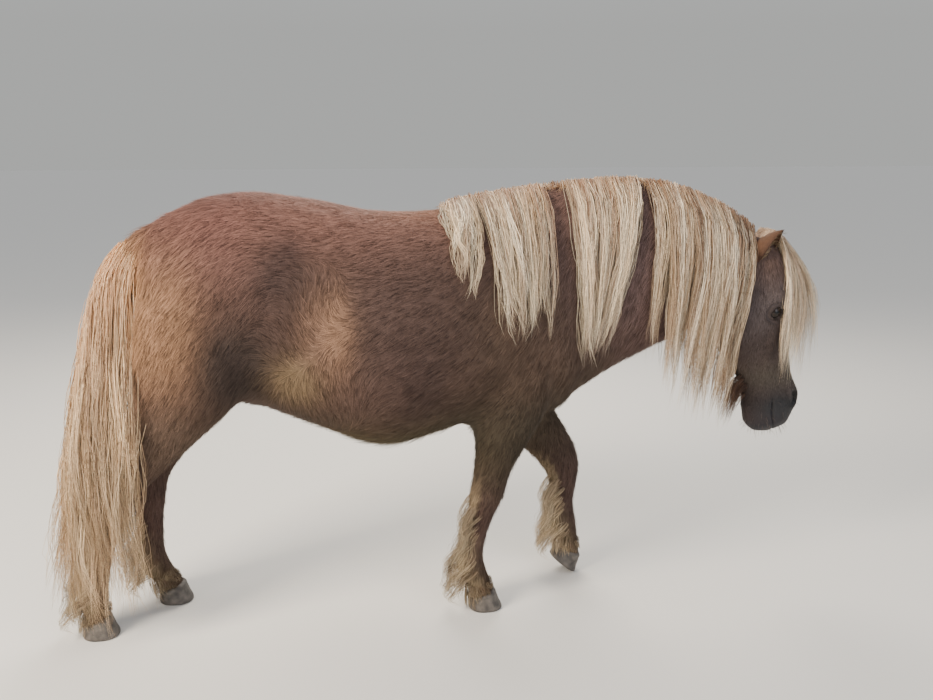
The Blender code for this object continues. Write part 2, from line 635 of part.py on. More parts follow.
def shape_head(head):
    """Lids and sockets, nostrils, the line of the mouth."""
    x, y, z = EYE_CENTRE
    boolean(head, "UNION", [eye("lid", s, EYE_RADIUS + LID_THICK, 16) for s in (RIGHT, LEFT)])
    cutters = []
    for s in (RIGHT, LEFT):
        opening = (x, (y + EYE_RADIUS) * s, z)
        cutters.append(tilted_ellipsoid("slit", opening, (LID_LONG, 0.014, LID_SHORT), LID_TILT))
        cutters.append(eye("socket", s, EYE_RADIUS + GAP))
        nostril = (NOSTRIL_CENTRE[0], NOSTRIL_CENTRE[1] * s, NOSTRIL_CENTRE[2])
        cutters.append(tilted_ellipsoid("nostril", nostril, NOSTRIL_RADII, NOSTRIL_TILT))
    mouth = box_beyond((MOUTH_FRONT, MOUTH_CORNER), depth=MOUTH_GAP)
    boolean(mouth, "DIFFERENCE", [ellipsoid("core", *MOUTH_CORE)], "MANIFOLD")
    for cutter in [*cutters, mouth]:
        boolean(head, "DIFFERENCE", [cutter])
    return keep_largest(head)


def lock(name, path, normals, width, thick, tilt=0.0):
    """A flat lock along a path, square to the normals but for the tilt, that tapers to a point."""
    path = [Vector(p) for p in path]
    rings = []
    last = len(path) - 1
    for i in range(last):
        t = i / last
        along = (path[i + 1] - path[max(i - 1, 0)]).normalized()
        across = along.cross(Vector(normals[i])).normalized()
        across = Matrix.Rotation(tilt, 3, along) @ across
        out = across.cross(along).normalized()
        w = width / 2 * (0.55 + 1.5 * t if t < 0.3 else (1 - t) ** 0.6 * 1.23)
        h = thick / 2 * (1.0 if t < 0.5 else 1.6 - 1.2 * t)
        sides = (across * w, out * h, across * -w, out * -h)
        rings.append([path[i] + side for side in sides])
    points = [p for ring in rings for p in ring] + [path[last]]
    faces = []
    for r in range(last - 1):
        for s in range(4):
            a, b = r * 4 + s, r * 4 + (s + 1) % 4
            faces.append((a, b, b + 4, a + 4))
    end = (last - 1) * 4
    faces += [(end + s, end + (s + 1) % 4, end + 4) for s in range(4)]
    faces.append((3, 2, 1, 0))
    obj = mesh_object(name, points, faces)
    face_outwards(obj)
    return obj


class Surface:
    """Where the flesh lies, seen from one side, from above or from the front."""

    def __init__(self, obj):
        polygons = [tuple(p.vertices) for p in obj.data.polygons]
        self.tree = BVHTree.FromPolygons([v.co for v in obj.data.vertices], polygons)

    def side(self, x, z, side):
        point, normal, _, _ = self.tree.ray_cast(Vector((x, side * 0.9, z)), Vector((0, -side, 0)))
        return point, normal

    def top(self, x, y=0.0):
        return self.tree.ray_cast(Vector((x, y, 1.5)), Vector((0, 0, -1)))[0].z

    def front(self, y, z):
        point, normal, _, _ = self.tree.ray_cast(Vector((1.5, y, z)), Vector((-1, 0, 0)))
        return point, normal


def mane_lock(surface, side, root_x, tip_x, low, layer, width, rng):
    crest = surface.top(root_x)
    rise = CREST_HAIR + rng.uniform(-0.003, 0.003)
    start = rng.uniform(0.003, 0.006)
    path = [
        (root_x + rng.uniform(-0.002, 0.002), side * start, crest - 0.036),
        (root_x, side * (start + 0.008), crest + rise),
    ]
    normals = [(0, -side, 0.3), (0, side * 0.5, 1)]
    y = 0.02
    sway, phase = rng.uniform(0.003, 0.008), rng.uniform(0, 6.3)
    for t in (0.10, 0.28, 0.54, 0.80, 1.0):
        z = crest + (low - crest) * t
        x = root_x + (tip_x - root_x) * t**1.3 + sway * math.sin(phase + 5 * t) * t
        point, normal = surface.side(x, z, side)
        if point and abs(point.y) + 0.02 > y - 0.06:
            y = max(y, abs(point.y) + LIFT + layer)
            normals.append((normal.x, normal.y, max(0.0, normal.z)))
        else:
            normals.append((0, side, 0))
        path.append((x, side * y, z))
    return lock("lock", path, normals, width, LOCK_THICK, LOCK_TILT * rng.uniform(0.8, 1.2))


def spread(ends, share):
    return ends[0] + (ends[1] - ends[0]) * share


def mane_locks(surface):
    rng = random.Random(SEED)
    for bundle in MANE:
        for i in range(bundle.count):
            share = (i + 0.5 + rng.uniform(-0.2, 0.2)) / bundle.count
            root = spread(bundle.roots, share)
            tip = spread(bundle.tips, share) + rng.uniform(-0.012, 0.012)
            low = spread(bundle.low, share) + rng.uniform(-0.03, 0.03)
            layer = (i % 3) * 0.004
            width = LOCK_WIDTH * rng.uniform(0.85, 1.15)
            yield mane_lock(surface, bundle.side, root, tip, low, layer, width, rng)


def forelock_locks(surface):
    rng = random.Random(SEED + 1)
    count = FORELOCK["count"]
    for i in range(count):
        share = (i + 0.5) / count
        root_y, end_y = spread(FORELOCK["roots"], share), spread(FORELOCK["spread"], share)
        low = FORELOCK["low"] + rng.uniform(-0.04, 0.04) + 0.03 * abs(2 * share - 1)
        path = [(0.706, root_y, 0.868), (0.742, root_y, 0.902)]
        normals = [(0.3, 0, 1), (0.6, 0, 1)]
        layer = 0.002 + 0.004 * (i % 3)
        for t in (0.12, 0.32, 0.56, 0.80, 1.0):
            z = 0.885 + (low - 0.885) * t
            y = root_y + (end_y - root_y) * t**0.7
            point, normal = surface.front(max(-0.05, min(0.05, y)), z)
            wrap = 0.030 * min(1.0, max(0.0, -y) / 0.085) ** 2
            swing = 0.008 + 0.075 * max(0.0, share - 0.3) / 0.7
            path.append((point.x + 0.005 + layer + swing * math.sin(3 * t**0.8) - wrap, y, z))
            normals.append((1, 0.8 * math.copysign(min(1, abs(y) / 0.08), y), 0.2))
        yield lock("lock", path, normals, LOCK_WIDTH * 0.8, LOCK_THICK * 0.9)


def beard_locks():
    rng = random.Random(SEED + 2)
    for i in range(BEARD["count"]):
        y = (i - (BEARD["count"] - 1) / 2) * 0.014
        (rx, rz), (tx, tz) = BEARD["root"], BEARD["tip"]
        back = rng.uniform(0, 0.01)
        path = [(rx + 0.02, y, rz + 0.004), (rx, y, rz - 0.006), (rx - 0.012, y * 1.1, rz - 0.022)]
        path.append((tx - back, y * 1.2, tz))
        normals = [(-0.4, 0, 0.9), (-0.8, 0, 0.5), (-1, 0, 0.2), (-1, 0, 0)]
        yield lock("lock", path, normals, 0.017, 0.009)


def dock_point(share):
    """A point inside the dock, at a share of its length."""
    at = np.linspace(0, 1, len(DOCK_MIDDLE))
    xs, zs = zip(*DOCK_MIDDLE)
    return np.interp(share, at, xs), np.interp(share, at, zs)


def tail_locks(legs):
    """Long locks from all round the dock; those nearest the hind leg hang outside it."""
    rng = random.Random(SEED + 3)
    for i in range(TAIL_COUNT):
        share = (i + 0.5) / TAIL_COUNT
        down = 0.04 + 0.92 * ((i * 7) % TAIL_COUNT) / TAIL_COUNT
        root_x, root_z = dock_point(down)
        tip_x = -0.805 - 0.195 * share
        tip_y = -0.175 + 0.14 * max(0.0, share - 0.45) / 0.55 + rng.uniform(-0.02, 0.02)
        tip_z = 0.035 + rng.uniform(0, 0.09) + 0.04 * (share < 0.3)
        out = Vector((-math.cos(2.4 * (0.5 - share)), -math.sin(4.8 * (0.5 - share)), 0))
        path = [(root_x, rng.uniform(-0.004, 0.004), root_z)]
        normals = [tuple(out)]
        for t in (0.08, 0.30, 0.55, 0.80, 1.0):
            z = root_z + (tip_z - root_z) * t
            swell = 0.042 * math.sin(math.pi * min(1.0, 0.22 + t * 0.8))
            x = root_x + (tip_x - root_x) * t**0.8 + out.x * swell
            y = tip_y * (t * t * (3 - 2 * t)) ** 0.8 + out.y * swell
            normal = (out.x * 0.7, out.y - 0.5 * t, 0)
            for ahead in (0.0, 0.022):
                point, _ = legs.side(x + ahead, z, RIGHT)
                if point and point.y < 0.0:
                    y = min(y, point.y - 0.012)
                    normal = (0, -1, 0)
            path.append((x, y, z))
            normals.append(normal)
        yield lock("lock", path, normals, 0.048, 0.015)


def feather_locks(sections):
    """Locks down the back of the cannon and fetlock in tiers, hanging close and curving in to the heel."""
    rows = {s.name: s for s in sections}
    upper = "below knee" if "below knee" in rows else "below hock"
    places = [Vector(rows[name].bottom) for name in (upper, "cannon", "fetlock", "pastern")]
    y = rows["fetlock"].y
    rng = random.Random(SEED + 4)
    for i in range(FEATHER_COUNT):
        share = 2.9 * i / (FEATHER_COUNT - 1)
        step = int(share)
        on = places[step].lerp(places[step + 1], share - step)
        aside = (i % 3 - 1) * 0.016
        long = rng.uniform(0.085, 0.105) * (1.0 if share < 2 else 0.75)
        low = max(0.010, on.y - long)
        back = (0.018 + 0.006 * share) * rng.uniform(0.9, 1.1)
        path = [(on.x + 0.018, y + aside * 0.6, on.y + 0.012), (on.x + 0.001, y + aside, on.y)]
        for down, out, wide in ((0.35, 0.8, 1.15), (0.70, 1.0, 1.25), (1.0, 0.9, 1.2)):
            path.append((on.x - back * out, y + aside * wide, on.y + (low - on.y) * down))
        yield lock("lock", path, [(-1, 24 * aside, 0)] * 5, 0.030, 0.011)


def fuse(obj, locks, clear_of, triangles):
    """Locks cut clear of the neighbours and joined to what they grow from, in about as many triangles as asked."""
    locks = list(locks)
    hair = locks.pop(0)
    boolean(hair, "UNION", locks, "MANIFOLD")
    boolean(hair, "DIFFERENCE", [inflated(other, HAIR_GAP) for other in clear_of], "MANIFOLD")
    boolean(obj, "UNION", [hair], "MANIFOLD")
    coarser(keep_largest(obj), triangles)
    boolean(obj, "DIFFERENCE", [inflated(other, GAP) for other in clear_of], "MANIFOLD")
    return keep_largest(obj)


def material(name, colour, roughness):
    made = bpy.data.materials.new(name)
    made.use_nodes = True
    shader = made.node_tree.nodes["Principled BSDF"]
    shader.inputs["Base Color"].default_value = (*colour, 1.0)
    shader.inputs["Roughness"].default_value = roughness
    return made


def main():
    clear_scene()
    flesh = whole_flesh()
    surface = Surface(flesh)
    nodes = part_flesh(flesh)
    remove(flesh)
    for name, (toe_x, y, tip) in HOOVES.items():
        made = hoof("hoof_" + name, toe_x, y, tip)
        end, side = name.split("_")
        cut_at_coronet(nodes[f"{end}leg_{side}"], made, toe_x, tip)
        nodes[made.name] = made
    shape_head(nodes["head"])
    for side_name, side in (("right", RIGHT), ("left", LEFT)):
        made = ear("ear_" + side_name, side)
        boolean(made, "DIFFERENCE", [inflated(nodes["head"]), inflated(nodes["neck"])], "MANIFOLD")
        nodes[made.name] = keep_largest(made)
        nodes["eye_" + side_name] = eye("eye_" + side_name, side)
    legs = {"foreleg_right": FORELEG_RIGHT, "foreleg_left": FORELEG_LEFT}
    legs |= {"hindleg_right": HINDLEG_RIGHT, "hindleg_left": HINDLEG_LEFT}
    for name, sections in legs.items():
        sole = nodes["hoof_" + name.replace("leg_", "_")]
        fuse(nodes[name], feather_locks(sections), [sole], FUSED_TRIANGLES["leg"])
    head_near = [nodes[n] for n in ("ear_right", "ear_left", "eye_right", "eye_left", "neck")]
    fuse(nodes["head"], [*forelock_locks(surface), *beard_locks()], head_near, FUSED_TRIANGLES["head"])
    neck_near = [nodes[n] for n in ("ear_right", "ear_left", "head", "torso", "foreleg_right")]
    fuse(nodes["neck"], mane_locks(surface), neck_near, FUSED_TRIANGLES["neck"])
    tail = coarser(loft("tail", DOCK), NODE_TRIANGLES["dock"])
    boolean(tail, "DIFFERENCE", [inflated(nodes["torso"])], "MANIFOLD")
    near = [nodes[n] for n in ("torso", "hindleg_right", "hindleg_left", "hoof_hind_right", "hoof_hind_left")]
    legs = Surface(nodes["hindleg_right"])
    nodes["tail"] = fuse(keep_largest(tail), tail_locks(legs), near, FUSED_TRIANGLES["tail"])
    looks = {
        "coat": material("coat", (0.25, 0.09, 0.045), 0.7),
        "hair": material("hair", (0.60, 0.47, 0.35), 0.6),
        "horn": material("horn", (0.15, 0.13, 0.12), 0.5),
        "eye": material("eye", (0.01, 0.007, 0.005), 0.05),
    }
    chosen = {"hoof": "horn", "eye": "eye", "tail": "hair"}
    for name, obj in nodes.items():
        obj.data.transform(Matrix.Translation((ORIGIN_X, 0, 0)))
        obj.data.materials.clear()
        obj.data.materials.append(looks[chosen.get(name.partition("_")[0], "coat")])


main()
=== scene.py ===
"""Shetland pony in a slow walk: skin, coat, long hair, eyes, ears, hooves, floor, light and camera.

Metres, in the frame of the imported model. Places on the body are given from the near fore hoof,
and TO_FRAME moves them into the frame, whose origin is under the middle of the pony.
"""

import math
import random
from collections import namedtuple

import bmesh
import bpy
import numpy as np
from mathutils import Matrix, Vector, noise
from mathutils.bvhtree import BVHTree
from mathutils.kdtree import KDTree


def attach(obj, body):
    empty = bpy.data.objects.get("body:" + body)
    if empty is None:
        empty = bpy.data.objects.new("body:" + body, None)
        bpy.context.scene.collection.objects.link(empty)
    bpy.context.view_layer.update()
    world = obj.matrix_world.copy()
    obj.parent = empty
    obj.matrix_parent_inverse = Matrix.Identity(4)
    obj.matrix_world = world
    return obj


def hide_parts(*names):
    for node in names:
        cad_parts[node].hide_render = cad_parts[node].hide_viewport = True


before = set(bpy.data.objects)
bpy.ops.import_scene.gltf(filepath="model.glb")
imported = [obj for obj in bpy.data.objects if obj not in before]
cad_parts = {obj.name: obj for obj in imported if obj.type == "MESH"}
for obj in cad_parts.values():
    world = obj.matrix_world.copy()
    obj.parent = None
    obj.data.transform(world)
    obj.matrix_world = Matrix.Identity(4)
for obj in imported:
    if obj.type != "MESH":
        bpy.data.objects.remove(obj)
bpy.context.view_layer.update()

# Sizes that everything else follows; VOXEL is the grain of the flesh, PATCH a strand's share of the unwrap
TO_FRAME = (0.059, 0, 0)
VOXEL, SIDES, RINGS_PER_METRE = 0.0082, 32, 110
RIGHT, LEFT = -1, 1
SIDE_NAME = {RIGHT: "right", LEFT: "left"}
SEED = 7
PATCH = 0.003


def rows_of(kind, *rows):
    return tuple(kind(*row) for row in rows)


# A section runs from a front or top point to a rear or bottom point, each (x, z) in the side view.
# half is its half width, widest where that is from bottom (0) to top (1), power its squareness, y its middle.
Section = namedtuple("Section", "name top bottom half widest power y", defaults=(0.5, 2.2, 0.0))

TORSO = rows_of(
    Section,
    ("buttock", (-0.772, 0.850), (-0.772, 0.680), 0.060),
    ("tail head", (-0.742, 0.918), (-0.752, 0.600), 0.138),
    ("thigh", (-0.670, 0.972), (-0.680, 0.548), 0.190, 0.50, 2.3),
    ("croup", (-0.540, 1.004), (-0.540, 0.520), 0.218, 0.55, 2.3),
    ("loin", (-0.390, 0.990), (-0.400, 0.464), 0.232, 0.47),
    ("barrel", (-0.230, 0.960), (-0.230, 0.404), 0.268, 0.43, 2.1),
    ("ribs", (-0.090, 0.962), (-0.090, 0.432), 0.248, 0.43, 2.1),
    ("girth", (0.020, 0.984), (0.020, 0.462), 0.212, 0.42, 2.1),
    ("shoulder", (0.120, 0.960), (0.130, 0.458), 0.182, 0.42),
    ("breast", (0.205, 0.870), (0.205, 0.478), 0.148, 0.42, 2.3),
    ("point", (0.255, 0.740), (0.250, 0.540), 0.085, 0.45, 2.3),
)
NECK = rows_of(
    Section,
    ("withers", (-0.060, 0.975), (0.080, 0.520), 0.150, 0.40, 2.0),
    ("base", (0.110, 1.000), (0.215, 0.500), 0.150, 0.38, 2.0),
    ("lower", (0.260, 1.016), (0.330, 0.560), 0.132, 0.36, 1.9),
    ("middle", (0.420, 1.016), (0.450, 0.616), 0.112, 0.38, 1.9),
    ("upper", (0.560, 0.972), (0.540, 0.655), 0.098, 0.42, 2.0),
    ("throat", (0.655, 0.915), (0.590, 0.672), 0.088, 0.48, 2.0),
    ("poll", (0.715, 0.872), (0.640, 0.700), 0.075, 0.50, 2.0),
)
HEAD = rows_of(
    Section,
    ("poll", (0.738, 0.884), (0.672, 0.880), 0.040, 0.50, 2.0),
    ("crown", (0.762, 0.852), (0.632, 0.832), 0.072, 0.55, 2.1),
    ("forehead", (0.782, 0.786), (0.602, 0.755), 0.086, 0.56, 2.3),
    ("eyes", (0.793, 0.722), (0.592, 0.690), 0.090, 0.56, 2.4),
    ("cheek", (0.799, 0.660), (0.600, 0.625), 0.079, 0.48, 2.4),
    ("face", (0.804, 0.600), (0.636, 0.570), 0.060, 0.50, 2.3),
    ("nose", (0.812, 0.542), (0.672, 0.522), 0.050, 0.52, 2.3),
    ("nostrils", (0.830, 0.484), (0.688, 0.472), 0.053, 0.60),
    ("lips", (0.823, 0.440), (0.694, 0.438), 0.046, 0.60, 2.1),
    ("lip ends", (0.808, 0.408), (0.701, 0.398), 0.039, 0.55, 2.0),
    ("lip tips", (0.782, 0.388), (0.722, 0.380), 0.018, 0.55, 2.0),
)
DOCK = rows_of(
    Section,
    ("root", (-0.690, 0.950), (-0.735, 0.850), 0.052, 0.5, 2.0),
    ("bend", (-0.778, 0.924), (-0.758, 0.850), 0.040, 0.5, 2.0),
    ("upper", (-0.822, 0.860), (-0.768, 0.820), 0.030, 0.5, 2.0),
    ("middle", (-0.842, 0.760), (-0.796, 0.748), 0.022, 0.5, 2.0),
    ("end", (-0.856, 0.640), (-0.826, 0.636), 0.014, 0.5, 2.0),
)
SHEATH = rows_of(
    Section,
    ("front", (-0.462, 0.524), (-0.462, 0.516), 0.006),
    ("middle", (-0.520, 0.548), (-0.520, 0.496), 0.034),
    ("back", (-0.578, 0.524), (-0.578, 0.516), 0.006),
)

# The parts of a leg from the top down, with their squareness
FOOT = {"cannon": 2.1, "fetlock": 2.1, "pastern": 2.1, "coronet": 2.1, "in the hoof": 2.1}
FORE = {"upper arm": 2.2, "elbow": 2.2, "forearm": 2.1, "above knee": 2.1, "knee": 2.3, "below knee": 2.2}
HIND = {"hip": 2.2, "stifle": 2.2, "thigh": 2.2, "gaskin": 2.1}
HIND.update({"above hock": 2.0, "hock": 2.0, "below hock": 2.1})


def leg(parts, *rows):
    """A leg from the x and z of the front, the x and z of the back, the half width and the y of each part."""
    return tuple(Section(name, r[:2], r[2:4], r[4], 0.5, parts[name], r[5]) for name, r in zip(parts, rows))


LEGS = {
    "foreleg_right": leg(
        {**FORE, **FOOT},
        (0.175, 0.620, -0.055, 0.560, 0.080, -0.118),
        (0.150, 0.500, -0.040, 0.490, 0.070, -0.120),
        (0.100, 0.405, -0.026, 0.405, 0.052, -0.112),
        (0.066, 0.335, -0.030, 0.335, 0.041, -0.104),
        (0.054, 0.292, -0.036, 0.288, 0.042, -0.100),
        (0.034, 0.248, -0.038, 0.244, 0.033, -0.098),
        (0.014, 0.195, -0.044, 0.190, 0.028, -0.097),
        (0.004, 0.128, -0.066, 0.118, 0.036, -0.096),
        (0.018, 0.080, -0.044, 0.062, 0.032, -0.096),
        (0.028, 0.050, -0.034, 0.032, 0.034, -0.096),
        (0.034, 0.034, -0.036, 0.016, 0.034, -0.096),
    ),
    "foreleg_left": leg(
        {**FORE, **FOOT},
        (0.205, 0.600, -0.020, 0.530, 0.080, 0.116),
        (0.212, 0.478, 0.025, 0.425, 0.070, 0.118),
        (0.258, 0.385, 0.125, 0.345, 0.052, 0.108),
        (0.282, 0.336, 0.176, 0.298, 0.043, 0.098),
        (0.290, 0.290, 0.202, 0.262, 0.042, 0.092),
        (0.283, 0.240, 0.208, 0.232, 0.033, 0.088),
        (0.276, 0.190, 0.214, 0.186, 0.028, 0.085),
        (0.284, 0.128, 0.210, 0.126, 0.036, 0.082),
        (0.288, 0.090, 0.224, 0.100, 0.032, 0.080),
        (0.2918, 0.0517, 0.2311, 0.0757, 0.034, 0.078),
        (0.292, 0.036, 0.228, 0.058, 0.034, 0.078),
    ),
    "hindleg_right": leg(
        {**HIND, **FOOT},
        (-0.480, 0.760, -0.765, 0.780, 0.100, -0.112),
        (-0.515, 0.600, -0.778, 0.660, 0.090, -0.124),
        (-0.575, 0.520, -0.790, 0.575, 0.076, -0.120),
        (-0.650, 0.452, -0.812, 0.492, 0.058, -0.112),
        (-0.730, 0.382, -0.860, 0.425, 0.042, -0.106),
        (-0.792, 0.320, -0.905, 0.362, 0.038, -0.102),
        (-0.820, 0.262, -0.908, 0.280, 0.033, -0.099),
        (-0.846, 0.198, -0.914, 0.200, 0.028, -0.096),
        (-0.862, 0.128, -0.938, 0.118, 0.036, -0.093),
        (-0.866, 0.080, -0.930, 0.062, 0.032, -0.091),
        (-0.868, 0.050, -0.930, 0.032, 0.034, -0.090),
        (-0.862, 0.034, -0.932, 0.016, 0.034, -0.090),
    ),
    "hindleg_left": leg(
        {**HIND, **FOOT},
        (-0.450, 0.760, -0.745, 0.780, 0.100, 0.112),
        (-0.480, 0.600, -0.755, 0.660, 0.090, 0.122),
        (-0.535, 0.520, -0.760, 0.575, 0.076, 0.116),
        (-0.605, 0.455, -0.775, 0.492, 0.058, 0.104),
        (-0.682, 0.385, -0.815, 0.425, 0.042, 0.094),
        (-0.733, 0.322, -0.858, 0.366, 0.038, 0.086),
        (-0.750, 0.262, -0.838, 0.280, 0.033, 0.080),
        (-0.758, 0.195, -0.824, 0.196, 0.028, 0.075),
        (-0.757, 0.126, -0.832, 0.116, 0.036, 0.071),
        (-0.738, 0.080, -0.802, 0.062, 0.032, 0.069),
        (-0.718, 0.050, -0.780, 0.032, 0.034, 0.067),
        (-0.712, 0.034, -0.782, 0.016, 0.034, 0.067),
    ),
}

# Where lofts meet, the surface is relaxed: middle, reach and how strongly
Blend = namedtuple("Blend", "name centre reach weight", defaults=(1.0,))
BLENDS = rows_of(
    Blend,
    ("neck base", (0.150, 0.0, 0.780), 0.300),
    ("withers", (-0.030, 0.0, 0.980), 0.160),
    ("chest", (0.220, 0.0, 0.520), 0.160),
    ("throat", (0.600, 0.0, 0.700), 0.130),
    ("poll", (0.690, 0.0, 0.880), 0.080, 0.8),
    ("right elbow", (0.040, -0.130, 0.490), 0.150),
    ("left elbow", (0.080, 0.130, 0.480), 0.160),
    ("right stifle", (-0.600, -0.120, 0.600), 0.200),
    ("left stifle", (-0.580, 0.120, 0.600), 0.200),
    ("croup", (-0.700, 0.0, 0.800), 0.200),
    ("dock root", (-0.745, 0.0, 0.900), 0.070, 0.8),
    ("groin", (-0.560, 0.0, 0.520), 0.120),
)

# Muscles, bones and hollows raised in the surface, the same on both sides: middle, radii, height
Bump = namedtuple("Bump", "name centre radii height")
BUMPS = rows_of(
    Bump,
    ("point of shoulder", (0.205, 0.125, 0.600), (0.055, 0.06, 0.055), 0.010),
    ("shoulder blade", (0.060, 0.180, 0.800), (0.050, 0.08, 0.130), 0.008),
    ("triceps", (-0.010, 0.200, 0.610), (0.075, 0.08, 0.070), 0.012),
    ("behind the elbow", (-0.115, 0.200, 0.560), (0.045, 0.08, 0.080), -0.010),
    ("neck groove", (0.330, 0.120, 0.650), (0.110, 0.05, 0.030), -0.007),
    ("hip point", (-0.455, 0.190, 0.890), (0.045, 0.05, 0.040), 0.008),
    ("flank hollow", (-0.395, 0.230, 0.740), (0.050, 0.06, 0.085), -0.014),
    ("stifle muscle", (-0.560, 0.200, 0.620), (0.080, 0.07, 0.080), 0.012),
    ("hamstring", (-0.720, 0.140, 0.700), (0.060, 0.07, 0.110), 0.008),
    ("cheek", (0.645, 0.080, 0.665), (0.050, 0.05, 0.055), 0.007),
    ("brow", (0.738, 0.085, 0.752), (0.024, 0.03, 0.022), 0.007),
    ("eye socket", (0.722, 0.090, 0.706), (0.020, 0.03, 0.024), -0.004),
    ("cheek crest", (0.725, 0.068, 0.625), (0.012, 0.03, 0.060), 0.005),
    ("nose side", (0.765, 0.060, 0.570), (0.030, 0.03, 0.045), -0.005),
    ("nostril wing", (0.812, 0.046, 0.478), (0.020, 0.02, 0.022), 0.006),
    ("chin", (0.702, 0.0, 0.452), (0.020, 0.03, 0.018), 0.007),
)
MUZZLE_BUMPS = rows_of(
    Bump,
    ("upper lip", (0.800, 0.020, 0.405), (0.018, 0.03, 0.012), 0.0030),
    ("above the lip", (0.792, 0.035, 0.440), (0.008, 0.02, 0.014), -0.0020),
    ("chin", (0.705, 0.0, 0.425), (0.020, 0.03, 0.020), 0.0035),
    *(("wrinkle", (0.800, 0.040, 0.520 + 0.012 * i), (0.030, 0.02, 0.003), 0.0007) for i in range(4)),
    ("lip groove", (0.840, 0.0, 0.440), (0.02, 0.003, 0.030), -0.0030),
)

# The coat: how far it stands off the skin, how long its hairs are and how wide, by place on the body
Coat = namedtuple("Coat", "name centre radii depth length width")
BODY_COAT = (0.0062, 0.025, 0.0016)
COATS = rows_of(
    Coat,
    ("belly", (-0.20, 0.0, 0.42), (0.32, 0.22, 0.06), 0.0085, 0.032, 0.0019),
    ("buttock", (-0.78, 0.0, 0.76), (0.06, 0.16, 0.16), 0.0085, 0.030, 0.0018),
    ("near forearm", (0.045, -0.110, 0.36), (0.12, 0.09, 0.13), 0.005, 0.018, 0.0016),
    ("off forearm", (0.200, 0.110, 0.34), (0.14, 0.09, 0.12), 0.005, 0.018, 0.0016),
    ("near gaskin", (-0.74, -0.110, 0.42), (0.14, 0.09, 0.12), 0.005, 0.019, 0.0016),
    ("off gaskin", (-0.70, 0.100, 0.42), (0.14, 0.09, 0.12), 0.005, 0.019, 0.0016),
    ("near fore cannon", (0.0, -0.097, 0.13), (0.10, 0.08, 0.17), 0.0035, 0.017, 0.0015),
    ("off fore cannon", (0.25, 0.085, 0.15), (0.10, 0.08, 0.15), 0.0035, 0.017, 0.0015),
    ("near hind cannon", (-0.87, -0.095, 0.15), (0.10, 0.08, 0.18), 0.0035, 0.017, 0.0015),
    ("off hind cannon", (-0.78, 0.075, 0.15), (0.10, 0.08, 0.18), 0.0035, 0.017, 0.0015),
    ("head", (0.71, 0.0, 0.70), (0.11, 0.14, 0.16), 0.0032, 0.012, 0.0013),
    ("face", (0.75, 0.0, 0.56), (0.10, 0.10, 0.11), 0.0026, 0.009, 0.0011),
    ("muzzle", (0.77, 0.0, 0.425), (0.085, 0.09, 0.062), 0.0006, 0.0035, 0.0007),
    ("eye", (0.722, 0.085, 0.706), (0.026, 0.03, 0.026), 0.0012, 0.005, 0.0009),
)

